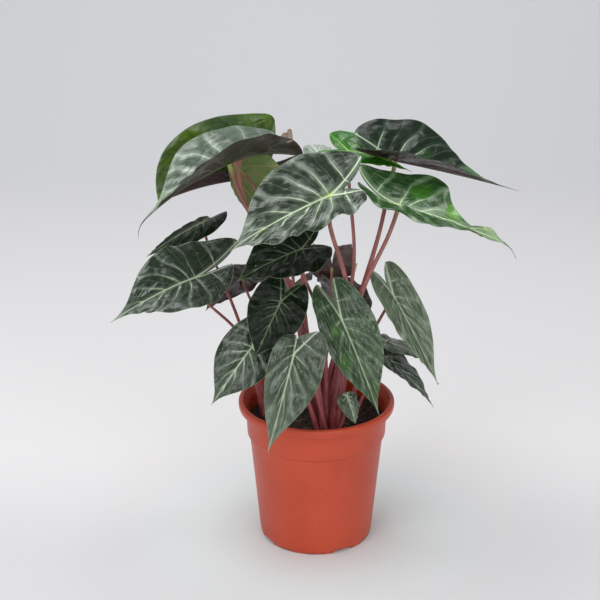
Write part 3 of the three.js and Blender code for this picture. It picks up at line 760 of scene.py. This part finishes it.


# %% [markdown]
# ## Eleven kinds of leaf top
#
# No two leaves in the photograph have quite the same colour. Each entry of the table gives the deep green,
# the silver and the vein colour of one kind, and then what sets it apart. Where the photograph shows a fresh
# green or a brown patch, the entry gives its place. A few other patches are painted sheen and painted shadow,
# and the pale kind has its sheen painted into all its colours.

# %% The tops
FRESH = (84, 132, 40)
LEAF_GREEN = (62, 104, 38)
LIME = (206, 228, 138)
LONG_STROKES = dict(brush=7.0, fine=3.0)
SHORT_STROKES = dict(brush=4.0, fine=1.5, grain=(2.2, 2.4))
TOPS = {
    "crown": dict(
        deep=(30, 50, 28), silver=(138, 152, 136), vein=(208, 228, 194), heart=LIME, plenty=0.7, halo=6,
        spots=[((-82, -137, 389), 14, FRESH), ((-40, -120, 396), 12, (74, 112, 48)),
               ((-55, -118, 426), 9, LEAF_GREEN), ((20, -85, 434), 10, LEAF_GREEN),
               ((13, -58, 455), 14, (142, 160, 138))]),
    "crown_right": dict(
        deep=(52, 92, 44), silver=(132, 158, 124), vein=(196, 220, 176), heart=LIME, plenty=0.75, halo=6,
        ends=0.8, spots=[((157, -25, 431), 18, (104, 162, 44)), ((154, -35, 409), 5, (128, 62, 44)),
                         ((120, 10, 440), 16, (62, 118, 34)), ((196, -46, 404), 18, (142, 168, 122))]),
    "far": dict(
        deep=(18, 36, 20), silver=(62, 84, 66), vein=(164, 188, 154), **LONG_STROKES, plenty=0.45,
        strength=0.95, ends=0.75, pucker=0.6, shine=0.3,
        spots=[((190, 62, 436), 26, (92, 126, 88)), ((128, 66, 468), 12, (40, 70, 36))]),
    # Painted sheen: the pale kind's deep green, silver and veins are lightened by the overhead light's sheen,
    # and its patch is a painted highlight.
    "pale": dict(
        deep=(96, 114, 96), silver=(164, 178, 164), vein=(220, 232, 212), **LONG_STROKES, plenty=0.85,
        ends=1.3, halo=7, gloss=0.34, spots=[((-170, -62, 444), 20, (150, 172, 138))]),
    # Painted light: the vivid green stands for light shining through the leaf from behind. The pale patch is
    # painted sheen and the darker green patch is painted shadow.
    "backlit": dict(
        deep=(80, 112, 26), silver=(42, 66, 26), vein=(52, 78, 28), brush=6.0, fine=2.0, plenty=0.7,
        strength=0.5, ends=1.2, halo=4, pucker=0.7,
        spots=[((-110, 55, 500), 28, (44, 78, 34)), ((-66, 58, 512), 20, (118, 142, 116))]),
    "middle": dict(
        deep=(40, 56, 38), silver=(112, 128, 110), vein=(176, 194, 164), **LONG_STROKES, grain=(2.2, 2.4),
        plenty=0.65, strength=0.75, ends=0.75, halo=3.5),
    "dark": dict(
        deep=(13, 24, 11), silver=(30, 44, 27), vein=(112, 128, 98), brush=4.0, fine=2.0, grain=(2.2, 2.4),
        plenty=0.4, strength=0.45, ends=0.6, pucker=0.4, gloss=0.34, shine=0.12),
    # Painted sheen: the pale patch low on the grey kind's blade.
    "grey": dict(
        deep=(48, 66, 42), silver=(112, 128, 108), vein=(180, 196, 168), **SHORT_STROKES, plenty=0.6,
        strength=0.55, ends=0.6, gloss=0.24, pucker=1.2, spots=[((-54, -126, 190), 34, (112, 126, 108))]),
    "right": dict(
        deep=(92, 110, 84), silver=(136, 152, 130), vein=(180, 196, 168), **SHORT_STROKES, plenty=0.6,
        strength=0.55, ends=0.6),
    "green": dict(
        deep=(44, 72, 38), silver=(112, 134, 104), vein=(176, 196, 162), **SHORT_STROKES, plenty=0.55,
        strength=0.45, ends=0.5, gloss=0.22, pucker=1.6,
        spots=[((20, -78, 301), 10, (70, 112, 46)), ((29, -88, 265), 16, (56, 94, 38)),
               ((71, -92, 272), 9, (72, 112, 50)), ((20, -70, 262), 18, (54, 92, 36)),
               ((74, -95, 232), 14, (56, 98, 38))]),
    "young": dict(
        deep=(36, 104, 12), silver=(66, 138, 26), vein=(124, 176, 66), edge=(150, 186, 80), brush=5.0,
        fine=2.0, strength=0.25, pucker=0.6),
}
tops = {name: blade_top(name, **look) for name, look in TOPS.items()}
print("leaf tops:", ", ".join(tops))

# %% The underside of a blade
def blade_underside(name, ground, patch, vein, rib=1.8):
    """An underside finish: a ground colour with patches of another and fine side veins. Rib is in mm."""
    finish = Finish("underside_" + name)
    across = finish.measure("across")
    strokes = finish.noise(finish.point(finish.times(finish.measure("row"), 6.0), across), 1.0, 3.0)
    clouds = finish.speckle(30.0, 3.0)
    colour = finish.blend(tint(*ground), patch, clouds, 0.4, 0.62)
    colour = finish.blend(colour, vein, strokes, 0.55, 0.8, 0.0, 0.3)
    line = finish.fade(finish.measure("from_vein"), 0.3, 0.9, 0.4, 0.0)
    midrib = finish.fade(finish.measure("from_rib"), rib * 0.5, rib, 0.85, 0.0)
    colour = finish.mix(finish.sum("MAXIMUM", line, midrib), colour, tint(*vein))
    finish.bump(finish.speckle(300.0, 4.0, 0.6), 0.0004)
    return finish.coat(Base_Color=colour, Roughness=0.42)


undersides = {
    "purple": blade_underside("purple", (38, 27, 28), (54, 41, 37), (92, 72, 70)),
    "mauve": blade_underside("mauve", (84, 66, 66), (104, 86, 80), (58, 46, 46), rib=1.2),
    "olive": blade_underside("olive", (54, 48, 38), (46, 52, 30), (80, 78, 58)),
    "young": blade_underside("young", (112, 134, 70), (96, 122, 58), (188, 122, 108), rib=4.5),
}
print("undersides:", ", ".join(undersides))

# %% [markdown]
# ## Making the blades
#
# Each half is two grids whose rows follow the side veins: one from the rib out to the margin, and a small one
# from the lobe's rib in to the notch. Rows crowd together beside a vein, where the surface dips sharply. The
# grids are merged along the rib, solidify gives the flat blade a second skin, and only then is everything
# bent. The blade swells between its veins, thins to its edge and carries raised ribs beneath.

# %% Two skins on a grid of veins
ROW_STEPS = (0, 0.06, 0.14, 0.26, 0.38, 0.5, 0.62, 0.74, 0.86, 0.94)
OUTER_COLUMNS = 22
INNER_COLUMNS = 8
COLUMN_CROWDING = 1.3
FLAT_THICKNESS = 0.01


def vein_rows(leaf, first, last):
    """Row numbers from first to last, close together beside each vein."""
    rows = [whole + step for whole in range(int(last) + 1) for step in ROW_STEPS]
    return [row for row in rows if first <= row < last - 0.03] + [last]


def flat_blade(leaf):
    """A bmesh of the flat blade with two skins, each point marked with its row, share across and side."""
    bm = bmesh.new()
    mark = bm.verts.layers.float_vector.new("mark")
    end = leaf.veins / JOINT_SHARE
    for side in (1, -1):
        for way, first, columns in ((1, 0, OUTER_COLUMNS), (-1, leaf.veins, INNER_COLUMNS)):
            rows = vein_rows(leaf, first, end)
            steps = len(rows) - 1
            made = bmesh.ops.create_grid(bm, x_segments=columns, y_segments=steps, size=0.5)["verts"]
            row = np.array([rows[round((v.co.y + 0.5) * steps)] for v in made])
            share = np.array([v.co.x + 0.5 for v in made]) ** COLUMN_CROWDING * way
            places = flat_point(leaf.half(side), row, share)
            for vertex, place, r, s in zip(made, places, row, share):
                vertex.co = (side * place[0], place[1], 0)
                vertex[mark] = (r, s, side)
    bmesh.ops.remove_doubles(bm, verts=bm.verts, dist=2e-5)
    bmesh.ops.dissolve_degenerate(bm, dist=1e-6, edges=bm.edges)
    bmesh.ops.recalc_face_normals(bm, faces=bm.faces)
    if sum(face.normal.z for face in bm.faces) < 0:
        bmesh.ops.reverse_faces(bm, faces=bm.faces)
    bmesh.ops.solidify(bm, geom=bm.faces[:], thickness=FLAT_THICKNESS)
    for face in bm.faces:
        face.material_index = 0 if face.normal.z > 0.5 else 1
    return bm


# %% How far each point is from veins and edges
NUDGE = 0.02


def near_line(points, line):
    """The distance from each flat point to a line of short straight pieces."""
    best = np.full(len(points), 9.0)
    for start, end in zip(line, line[1:]):
        span = end - start
        share = np.clip((points - start) @ span / (span @ span), 0, 1)
        best = np.minimum(best, np.linalg.norm(points - start - share[:, None] * span, axis=1))
    return best


def half_measures(leaf, x, y, row, across):
    """Distances in mm from the veins, the ribs and the margin for points of one flat half."""
    further, nearer = (flat_point(leaf, row, np.clip(across + step, -1, 1)) for step in (NUDGE, -NUDGE))
    along = further - nearer
    along /= np.linalg.norm(along, axis=1)[:, None] + 1e-9
    beside = (flat_point(leaf, row + NUDGE, across) - flat_point(leaf, row - NUDGE, across)) / (2 * NUDGE)
    spacing = np.abs(beside[:, 0] * along[:, 1] - beside[:, 1] * along[:, 0])
    part = np.abs(row - np.round(row))
    ribs = np.vstack([[[0, 1.0]], rib_at(leaf, np.linspace(JOINT_SHARE, 1, 12))])
    rim = flat_point(leaf, row, np.where(across < 0, -1.0, 1.0))
    from_edge = np.linalg.norm(rim - flat_point(leaf, row, across), axis=1)
    fused = (across < 0) & (row * JOINT_SHARE / leaf.veins < JOINT_SHARE + (1 - JOINT_SHARE) * FUSED_SHARE)
    return {
        "from_vein": part * spacing * leaf.length,
        "from_minor": (0.5 - part) * spacing * leaf.length,
        "from_rib": near_line(np.column_stack([np.abs(x), y]), ribs) * leaf.length,
        "from_edge": np.where(fused, 99, from_edge * leaf.length),
        "from_joint": np.hypot(x, y) * leaf.length,
    }


def blade_measures(leaf, x, y, row, across, side):
    """The measures of both halves together."""
    measures = {}
    for sign in (1, -1):
        chosen = side == sign
        found = half_measures(leaf.half(sign), *(v[chosen] for v in (x, y, row, across)))
        for name, values in found.items():
            measures.setdefault(name, np.zeros(len(x)))[chosen] = values
    return measures


# %% The relief of a blade
SKIN = 0.3
KEEL_HEIGHT = 1.5
RIDGE_HEIGHT = 0.45
GROOVE_DEPTH = 0.35
CRINKLE_DEPTH = 1.1
CRINKLE_SIZE = 60
CRINKLE_WAVES = 7


def crinkle(x, y, seed):
    """A gentle random unevenness between about -1 and 1, made of a few crossing waves."""
    total = np.zeros_like(x)
    for k in range(CRINKLE_WAVES):
        turn = 2.4 * k + seed
        pace = 9 + 7 * k
        total += np.sin(pace * (x * math.cos(turn) + y * math.sin(turn)) + 3 * turn) / (1 + 0.5 * k)
    return total / 2.2


def rib_taper(y):
    """The ribs' strength by share of the blade's length: full at the joint, faint at tip and lobes."""
    return np.where(y < 0, np.maximum(1.05 + 3 * y, 0.4), np.maximum(1.05 - y, 0.1))


def blade_relief(leaf, x, y, row, across, side, above, measures):
    """How far each point stands out from the bent blade in mm, above it or below it."""
    from_rib, from_edge = measures["from_rib"], measures["from_edge"]
    inside = fade(from_rib, 0.5, 7) * fade(from_edge, 0, 6)
    uneven = 0.7 + 0.5 * np.sin(4 * across * side + 2.1 * row + leaf.seed)
    swell = leaf.quilt * uneven * np.abs(np.sin(np.pi * row)) ** 0.8 * inside
    frill = leaf.frill * np.sin(2 * np.pi * row + leaf.seed * side) * np.clip(across, 0, 1) ** 5
    frill *= fade(1 - y, 0, 0.25)
    size = leaf.length / CRINKLE_SIZE
    rough = CRINKLE_DEPTH * crinkle(x * size, y * size, leaf.seed) * inside
    skin = SKIN * (0.45 + 0.55 * fade(from_edge, 0, 8))
    taper = rib_taper(y)
    keel = KEEL_HEIGHT * taper * np.exp(-(from_rib / (0.5 + 0.9 * taper)) ** 2)
    ridge = RIDGE_HEIGHT * np.exp(-(measures["from_vein"] / 0.6) ** 2) * fade(from_edge, 0, 12)
    groove = GROOVE_DEPTH * taper * np.exp(-(from_rib / 1.3) ** 2)
    return swell + frill + rough + np.where(above, skin - groove, -skin - np.maximum(keel, ridge))


# %% Bend every blade into place
TAIL_AT = 0.8


def make_blade(leaf):
    """Bends the flat blade into place, raises its relief and stores what the finishes read."""
    finishes = [tops[leaf.top], undersides[leaf.under]]
    piece = finish_piece("leaf_" + leaf.name, flat_blade(leaf), finishes, sharp=60)
    mesh = piece.data
    x, y, level = read_points(mesh).T
    marks = np.empty(len(mesh.vertices) * 3)
    mesh.attributes["mark"].data.foreach_get("vector", marks)
    row, across, side = marks.reshape(-1, 3).T
    above = level > (level.min() + level.max()) / 2
    measures = blade_measures(leaf, x, y, row, across, side)
    raised = blade_relief(leaf, x, y, row, across, side, above, measures)
    stretch = leaf.tail * past(y, TAIL_AT) ** 2
    points, normals = place_blade(leaf, x * (1 - 0.25 * stretch), y + stretch)
    write_points(mesh, (points + normals * raised[:, None]) * MM)
    measures["row"] = row + leaf.number * 20
    measures["across"] = across * side
    measures["rib_width"] = (0.35 + 1.15 * rib_taper(y)) * min(1, max(0.6, leaf.length / 130))
    for name, values in measures.items():
        note_measure(mesh, name, values)
    mesh.attributes.remove(mesh.attributes["mark"])
    hang_on_plant(piece, "young_leaf" if leaf.young else "leaf", "blade_" + leaf.name)
    return piece


blades = [make_blade(leaf) for leaf in leaves if not leaf.rolled]
print("blades:", len(blades), "with", sum(len(blade.data.polygons) for blade in blades), "faces")

# %% [markdown]
# ## Dew and a withered scrap
#
# The plant was watered before its portrait. Small drops stand on the upper skins, and one dry scrap of an old
# leaf is caught behind the crown. Both are tiny, but their glints and the odd tan patch are easy to see.

# %% Drops on the upper skins
DROPS = {"crown_front": 34, "crown_right": 22, "middle_left": 26, "centre_dark": 12, "centre_hanging": 14,
         "lower_left": 16, "lower_centre": 14, "centre_right": 22, "right": 12}
DROP_SIZES = (0.5, 1.1)
DROP_FLATNESS = 0.55
DROP_LIFT = 0.2


def make_drops():
    """Scatters flattened drops over the upper skins and joins them into one piece."""
    rng = random.Random(23)
    water = Finish("water_drop")
    bm = bmesh.new()
    for blade in blades:
        upper_skin = [face for face in blade.data.polygons if face.material_index == 0]
        for _ in range(DROPS.get(blade.name.removeprefix("leaf_"), 0)):
            face = rng.choice(upper_skin)
            size = rng.uniform(*DROP_SIZES) * MM
            made = bmesh.ops.create_uvsphere(bm, u_segments=10, v_segments=6, radius=size)["verts"]
            bmesh.ops.scale(bm, verts=made, vec=(1, 1, DROP_FLATNESS))
            bmesh.ops.rotate(bm, verts=made, matrix=face.normal.to_track_quat("Z", "Y").to_matrix())
            bmesh.ops.translate(bm, verts=made, vec=face.center + face.normal * size * DROP_LIFT)
    clear = water.coat(Base_Color=tint(214, 224, 210), Roughness=0.03, Transmission_Weight=0.9, IOR=1.33)
    hang_on_plant(finish_piece("water_drops", bm, [clear]), "leaf")


make_drops()

# %% The dry scrap
SCRAP_PLACE = (-34, 32, 500)
SCRAP_REACH = 13
SCRAP_THICKNESS = 0.5


def make_scrap():
    """A thin dry shred, rolled about an upright line and pinched towards both ends."""
    husk = Finish("dry_husk")
    grain = husk.speckle(300.0, 3.0, stretch=(1, 1, 0.3))
    bm = bmesh.new()
    made = bmesh.ops.create_grid(bm, x_segments=18, y_segments=10, size=0.5)["verts"]
    for vertex in made:
        along, across = vertex.co.x * 2, vertex.co.y * 2
        turn = 2.6 * along + 0.5 * across
        radius = 4.2 + 1.4 * math.sin(5 * along) + 1.1 * across * along
        height = SCRAP_REACH / 2 * across * (1 - 0.45 * along * along) + 1.2 * math.sin(4 * along)
        rolled = Vector((radius * math.cos(turn) + 3 * along, radius * math.sin(turn) * 0.7, height))
        vertex.co = (rolled + Vector(SCRAP_PLACE)) * MM
    bmesh.ops.recalc_face_normals(bm, faces=bm.faces)
    bmesh.ops.solidify(bm, geom=bm.faces[:], thickness=SCRAP_THICKNESS * MM)
    colour = husk.blend(tint(196, 172, 156), (128, 104, 88), grain, 0.3, 0.7)
    hang_on_plant(finish_piece("dry_scrap", bm, [husk.coat(Base_Color=colour, Roughness=0.8)]), "leaf")


make_scrap()

# %% [markdown]
# ## Stalks
#
# A stalk is a long tapering tube. It leaves the peat almost upright, swings out, and turns up into the blade
# that it carries. Its foot is swollen and open on the inner side, like a sheath that once held the next leaf.
# The tube starts as a flat grid, which is rolled up round the line and closed at its seam.

# %% The line of a stalk
STALK_FOOT = 145
STALK_POINTS = 61
SPAN_POINTS = 60
BELOW_BLADE = 0.9
LEAN_INTO_BLADE = 0.6
ARRIVAL_SHARE = 0.12
UPRIGHT_START = (0.06, 0.06, 0.12)


def smooth_line(corners, count):
    """Evenly spaced points on a smooth line through the corners."""
    padded = [2 * corners[0] - corners[1], *corners, 2 * corners[-1] - corners[-2]]
    line = []
    for before, start, end, after in zip(padded, padded[1:], padded[2:], padded[3:]):
        pairs = (before, start), (start, end), (end, after)
        first, middle, last = (max(np.linalg.norm(b - a) ** 0.5, 1e-6) for a, b in pairs)
        leave = (start - before) / first - (end - before) / (first + middle) + (end - start) / middle
        arrive = (end - start) / middle - (after - start) / (middle + last) + (after - end) / last
        leave, arrive = leave * middle, arrive * middle
        for t in np.linspace(0, 1, SPAN_POINTS, endpoint=False):
            line.append((2 * t**3 - 3 * t**2 + 1) * start + (t**3 - 2 * t**2 + t) * leave
                        + (3 * t**2 - 2 * t**3) * end + (t**3 - t**2) * arrive)
    return points_along(np.array([*line, corners[-1]]), np.linspace(0, 1, count))


def stalk_line(leaf):
    """The stalk's line from its foot in the peat to the underside of the blade."""
    foot = np.array([*leaf.foot, STALK_FOOT], float)
    end = leaf.joint - leaf.normal * BELOW_BLADE
    arrival = unit(unit(end - leaf.by) + leaf.normal * LEAN_INTO_BLADE)
    before = end - arrival * ARRIVAL_SHARE * np.linalg.norm(end - foot)
    ground = foot + (leaf.by - foot) * np.array(UPRIGHT_START)
    return smooth_line([foot, ground, leaf.by, before, end], STALK_POINTS)


def line_frames(line, inward):
    """A side and a cross direction at each point of a line, turning as little as possible."""
    ahead = np.gradient(line, axis=0)
    ahead /= np.linalg.norm(ahead, axis=1)[:, None]
    sides = []
    side = np.array(inward, float)
    for direction in ahead:
        side = unit(side - direction * (side @ direction))
        sides.append(side)
    sides = np.array(sides)
    return sides, np.cross(ahead, sides)


# %% A tube from a rolled grid
def add_tube(bm, line, radius_at, inward=(0, 1, 0.001), sides=16):
    """Rolls a grid round the line. radius_at gives the radius by share of the line and by angle."""
    share_mark = bm.verts.layers.float["share"]
    steps = len(line) - 1
    made = bmesh.ops.create_grid(bm, x_segments=sides, y_segments=steps, size=0.5)["verts"]
    side, cross = line_frames(line, inward)
    step = np.array([round((v.co.y + 0.5) * steps) for v in made])
    angle = np.array([round((v.co.x + 0.5) * sides) % sides for v in made]) * 2 * np.pi / sides
    angle = np.where(angle > np.pi, angle - 2 * np.pi, angle)
    radius = radius_at(step / steps, angle)[:, None]
    outwards = np.cos(angle)[:, None] * side[step] + np.sin(angle)[:, None] * cross[step]
    places = line[step] + radius * outwards
    for vertex, place, share in zip(made, places, step / steps):
        vertex.co = place * MM
        vertex[share_mark] = share
    bmesh.ops.remove_doubles(bm, verts=made, dist=1e-6)


def close_tubes(bm):
    """Caps every open end and turns all faces outwards."""
    edges = [edge for edge in bm.edges if edge.is_boundary]
    bmesh.ops.holes_fill(bm, edges=edges, sides=0)
    bmesh.ops.recalc_face_normals(bm, faces=bm.faces)


def stalk_finish():
    """Pink at the foot with darker streaks, brownish to green-grey near the blade."""
    finish = Finish("stalk_skin")
    share = finish.measure("share")
    streaks = finish.speckle(900.0, 3.0, stretch=(1, 1, 0.06))
    mottle = finish.speckle(160.0, 4.0, 0.65, (1, 1, 0.4))
    colour = finish.blend(tint(140, 56, 58), (168, 90, 94), share, 0.02, 0.28)
    colour = finish.blend(colour, (150, 96, 88), share, 0.35, 0.9)
    colour = finish.blend(colour, (124, 66, 66), streaks, 0.45, 0.7, 0.0, 0.5)
    colour = finish.blend(colour, (190, 126, 124), mottle, 0.5, 0.72, 0.0, 0.6)
    colour = finish.blend(colour, (160, 172, 96), share, 0.95, 1.0)
    finish.bump(streaks, 0.0003)
    return finish.coat(Base_Color=colour, Roughness=0.42)


stalk_skin = stalk_finish()


# %% A stalk for every leaf
def stalk_radius(leaf):
    """The stalk's radius: wide at the foot with a groove on its inner side, slim further up."""
    def radius_at(share, angle):
        radius = leaf.stalk + (leaf.base - leaf.stalk) * (1 - share) ** (1 if leaf.rolled else 2)
        sheath = 1 - fade(share, 0.12, 0.42)
        groove = np.exp(-(angle / 0.4) ** 2)
        lips = np.exp(-((np.abs(angle) - 0.85) / 0.3) ** 2)
        radius = radius * (1 + sheath * (0.22 * lips - 0.35 * groove))
        knuckle = np.exp(-((share - 0.985) / 0.02) ** 2)
        return radius * (1 + 0.25 * knuckle + 0.03 * np.sin(23 * share + leaf.seed))
    return radius_at


def make_stalks(shoot):
    """One piece with all the stalks of a shoot."""
    bm = bmesh.new()
    bm.verts.layers.float.new("share")
    for leaf in leaves:
        if leaf.shoot == shoot:
            inward = np.array([*leaf.foot, 0.0]) * -0.01 + np.array([0.05, 0.1, 0])
            add_tube(bm, stalk_line(leaf), stalk_radius(leaf), inward)
    close_tubes(bm)
    piece = finish_piece("petioles_" + shoot, bm, [stalk_skin], sharp=50)
    hang_on_plant(piece, "stalk", "stalks_" + shoot)
    return piece


shoots = sorted({leaf.shoot for leaf in leaves})
stalks = [make_stalks(shoot) for shoot in shoots]
print("stalks in", len(stalks), "shoots")

# %% [markdown]
# ## The peat
#
# The mix is nearly black, crumbly and a little lower at the wall. A spun disc gives its ground, and noise
# pushes the points up and down. Loose crumbs and a few pale fibres lie on it, because a bare disc would look
# like rubber from above.

# %% The bed
SOIL_HEIGHT = 158
PEAT_RADIUS = 82.2
PEAT_DIP = 4
RIM_HEIGHT = 155.5
UNDERSIDE = [(79.5, -20), (70, -140), (64, -147), (0, -147)]


def peat_finish():
    finish = Finish("damp_peat")
    grain = finish.speckle(420.0, 5.0, 0.7)
    colour = finish.blend(tint(24, 17, 14), (72, 50, 40), grain, 0.35, 0.7)
    finish.bump(grain, 0.0012)
    return finish.coat(Base_Color=colour, Roughness=0.9)


peat = peat_finish()


def peat_height(x, y):
    """The peat's uneven surface in mm at a place in the pot."""
    radius = math.hypot(x, y)
    low = PEAT_DIP * fade(radius, 20, PEAT_RADIUS)
    coarse = noise.noise(Vector((x / 14, y / 14, 3.1)))
    fine = noise.noise(Vector((x / 3.2, y / 3.2, 7.7)))
    return SOIL_HEIGHT - low + 1.6 * coarse + 1.2 * fine


def make_peat():
    """The block of peat: an uneven top on a body that fills the pot."""
    bm = bmesh.new()
    surface = [(radius, 0) for radius in np.linspace(0, PEAT_RADIUS, 34)]
    spin_profile(bm, surface + UNDERSIDE, steps=120, merge=1e-4)
    for vertex in bm.verts:
        x, y, z = vertex.co
        base = peat_height(x, y) if z > -1 else RIM_HEIGHT
        vertex.co = Vector((x, y, base + z)) * MM
    hang_on_plant(finish_piece("peat_bed", bm, [peat], sharp=60), "peat", "soil")


make_peat()

# %% Crumbs and fibres on the peat
CRUMB_COUNT = 420
CRUMB_REACH = 80
CRUMB_SIZES = (0.8, 3.2)
FIBRE_COUNT = 26
FIBRE_REACH = 74
FIBRE_LIMIT = 78
FIBRE_LENGTHS = (5, 13)
FIBRE_RADIUS = 0.35


def random_place(rng, reach, innermost):
    """A random place on the peat, spread evenly from the share innermost out to reach."""
    turn, radius = rng.uniform(0, 2 * math.pi), reach * math.sqrt(rng.uniform(innermost, 1))
    return radius * math.cos(turn), radius * math.sin(turn)


def make_crumbs():
    """Loose crumbs, each a small ball pushed out of shape and squashed."""
    rng = random.Random(11)
    bm = bmesh.new()
    for _ in range(CRUMB_COUNT):
        x, y = random_place(rng, CRUMB_REACH, 0.02)
        size = rng.uniform(*CRUMB_SIZES) ** 1.1
        made = bmesh.ops.create_icosphere(bm, subdivisions=1, radius=size * MM)["verts"]
        for vertex in made:
            vertex.co *= rng.uniform(0.7, 1.2)
        squash = (rng.uniform(0.7, 1.5), rng.uniform(0.6, 1), rng.uniform(0.5, 0.9))
        bmesh.ops.scale(bm, verts=made, vec=squash)
        bmesh.ops.rotate(bm, verts=made, matrix=Matrix.Rotation(rng.uniform(0, 6), 3, "Z"))
        bmesh.ops.translate(bm, verts=made, vec=Vector((x, y, peat_height(x, y) + size * 0.2)) * MM)
    hang_on_plant(finish_piece("peat_crumbs", bm, [peat], sharp=20), "peat")


def make_fibres():
    """Short bent fibres that lie just above the peat."""
    rng = random.Random(5)
    pale = Finish("dry_fibre")
    bm = bmesh.new()
    bm.verts.layers.float.new("share")
    for _ in range(FIBRE_COUNT):
        x, y = random_place(rng, FIBRE_REACH, 0.1)
        heading, length = rng.uniform(0, 6.3), rng.uniform(*FIBRE_LENGTHS)
        corners = []
        for step in range(4):
            px, py = x + math.cos(heading) * length * step / 3, y + math.sin(heading) * length * step / 3
            heading += rng.uniform(-0.5, 0.5)
            if math.hypot(px, py) < FIBRE_LIMIT:
                corners.append(np.array([px, py, peat_height(px, py) + 1.2 + rng.uniform(0, 1.2)]))
        if len(corners) > 2:
            add_tube(bm, smooth_line(corners, 9), lambda share, angle: FIBRE_RADIUS + 0 * share, sides=5)
    close_tubes(bm)
    straw = pale.coat(Base_Color=tint(150, 118, 84), Roughness=0.8)
    hang_on_plant(finish_piece("peat_fibres", bm, [straw]), "peat")


make_crumbs()
make_fibres()

# %% [markdown]
# ## The pot
#
# A nursery pot is one thin moulding. Its wall is turned round the axis from a profile with rounded corners:
# a rolled lip, a short upright band, a step and a long tapering body. Four shallow notches in the foot let
# water run out, and six holes drain the floor.

# %% The profile
POT_PROFILE = [
    (0, 5, 0), (62.5, 5, 1), (62.5, 0, 0.8), (67.5, 0, 1.5), (69.4, 7, 3), (81.4, 133.5, 1.2),
    (84.4, 136, 1.6), (86, 169.6, 1.2), (93.9, 169.3, 1.4), (95, 173.5, 3), (94.8, 178.5, 3),
    (92.6, 180, 1.6), (89.8, 180, 1), (88.6, 177.5, 2), (83.8, 168.5, 3), (82.2, 136, 1), (79.2, 133.5, 1),
    (67.2, 9.4, 2), (65.2, 7.4, 1), (0, 7.4, 0)]


def rounded(profile):
    """The profile's points in metres, with each corner turned into a small arc of the given size."""
    points = []
    for k, (radius, height, size) in enumerate(profile):
        corner = Vector((radius, height))
        if size == 0:
            points.append(corner)
            continue
        before, after = (Vector(profile[near][:2]) - corner for near in (k - 1, k + 1))
        reach = min(size, before.length * 0.45, after.length * 0.45)
        start, end = corner + before.normalized() * reach, corner + after.normalized() * reach
        for share in np.linspace(0, 1, 5):
            points.append(start * (1 - share) ** 2 + corner * 2 * share * (1 - share) + end * share**2)
    return [(point.x * MM, point.y * MM) for point in points]


# %% The pot's finish
def pot_finish():
    """Red-brown moulded plastic, a little uneven and dusty, with faint specks of peat."""
    finish = Finish("clay_plastic")
    clouds = finish.speckle(14.0, 3.0)
    dust = finish.speckle(90.0, 4.0, 0.6, (1, 1, 0.35))
    specks = finish.speckle(240.0)
    colour = finish.blend(tint(184, 63, 33), (192, 70, 40), clouds, 0.3, 0.7)
    colour = finish.blend(colour, (196, 96, 70), dust, 0.5, 0.8, 0.0, 0.2)
    colour = finish.blend(colour, (84, 44, 32), specks, 0.74, 0.78, 0.0, 0.8)
    # Darker in patches towards the very bottom of the foot.
    low = finish.fade(finish.add("SeparateXYZ", {0: finish.place()}, "Z"), 0.001, 0.006, 1.0, 0.0)
    patchy_foot_darkening = finish.times(low, finish.fade(dust, 0.42, 0.6))
    colour = finish.mix(finish.times(patchy_foot_darkening, 0.7), colour, tint(96, 58, 40))
    finish.bump(finish.speckle(700.0, 3.0), 0.00015)
    rough = finish.sum("MULTIPLY_ADD", dust, 0.2, 0.32)
    return finish.coat(Base_Color=colour, Roughness=rough)


# %% Turn the pot and cut its holes
POT_STEPS = 144
NOTCH_HEIGHT = 4.4 * MM
NOTCH_ANGLE = 20
FIRST_NOTCH = -60
FOOT_RING = 0.06
HOLE_COUNT = 6
HOLE_RADIUS = 0.005
HOLE_RING = 0.04
HOLE_MIDDLE = 0.006
CUTTER_LENGTH = 0.008


def cut_drain_holes(pot):
    """Cuts the round holes through the raised floor."""
    bm = bmesh.new()
    for k in range(HOLE_COUNT):
        turn = (k + 0.5) * 2 * math.pi / HOLE_COUNT
        made = bmesh.ops.create_cone(bm, cap_ends=True, segments=28, radius1=HOLE_RADIUS,
                                     radius2=HOLE_RADIUS, depth=CUTTER_LENGTH)["verts"]
        place = (HOLE_RING * math.cos(turn), HOLE_RING * math.sin(turn), HOLE_MIDDLE)
        bmesh.ops.translate(bm, verts=made, vec=place)
    cutter = finish_piece("drain_cutter", bm, [])
    cut = pot.modifiers.new("drain", "BOOLEAN")
    cut.operation, cut.solver, cut.object = "DIFFERENCE", "EXACT", cutter
    bpy.context.view_layer.update()
    holed = bpy.data.meshes.new_from_object(pot.evaluated_get(bpy.context.evaluated_depsgraph_get()))
    pot.modifiers.clear()
    pot.data = holed
    bpy.data.objects.remove(cutter)


def make_pot():
    """The moulded shell with its notched foot and drained floor."""
    bm = bmesh.new()
    spin_profile(bm, rounded(POT_PROFILE), steps=POT_STEPS, merge=1e-6)
    for vertex in bm.verts:
        x, y, z = vertex.co
        turn = (math.degrees(math.atan2(y, x)) - FIRST_NOTCH + 45) % 90 - 45
        if abs(turn) < NOTCH_ANGLE / 2 and z < NOTCH_HEIGHT and math.hypot(x, y) > FOOT_RING:
            vertex.co.z = NOTCH_HEIGHT + z * 0.05
    pot = finish_piece("pot_shell", bm, [pot_finish()], sharp=50)
    cut_drain_holes(pot)
    hang_on_plant(pot, "pot", "pot")
    return pot


pot = make_pot()
print("pot faces with its holes cut:", len(pot.data.polygons))

# %% [markdown]
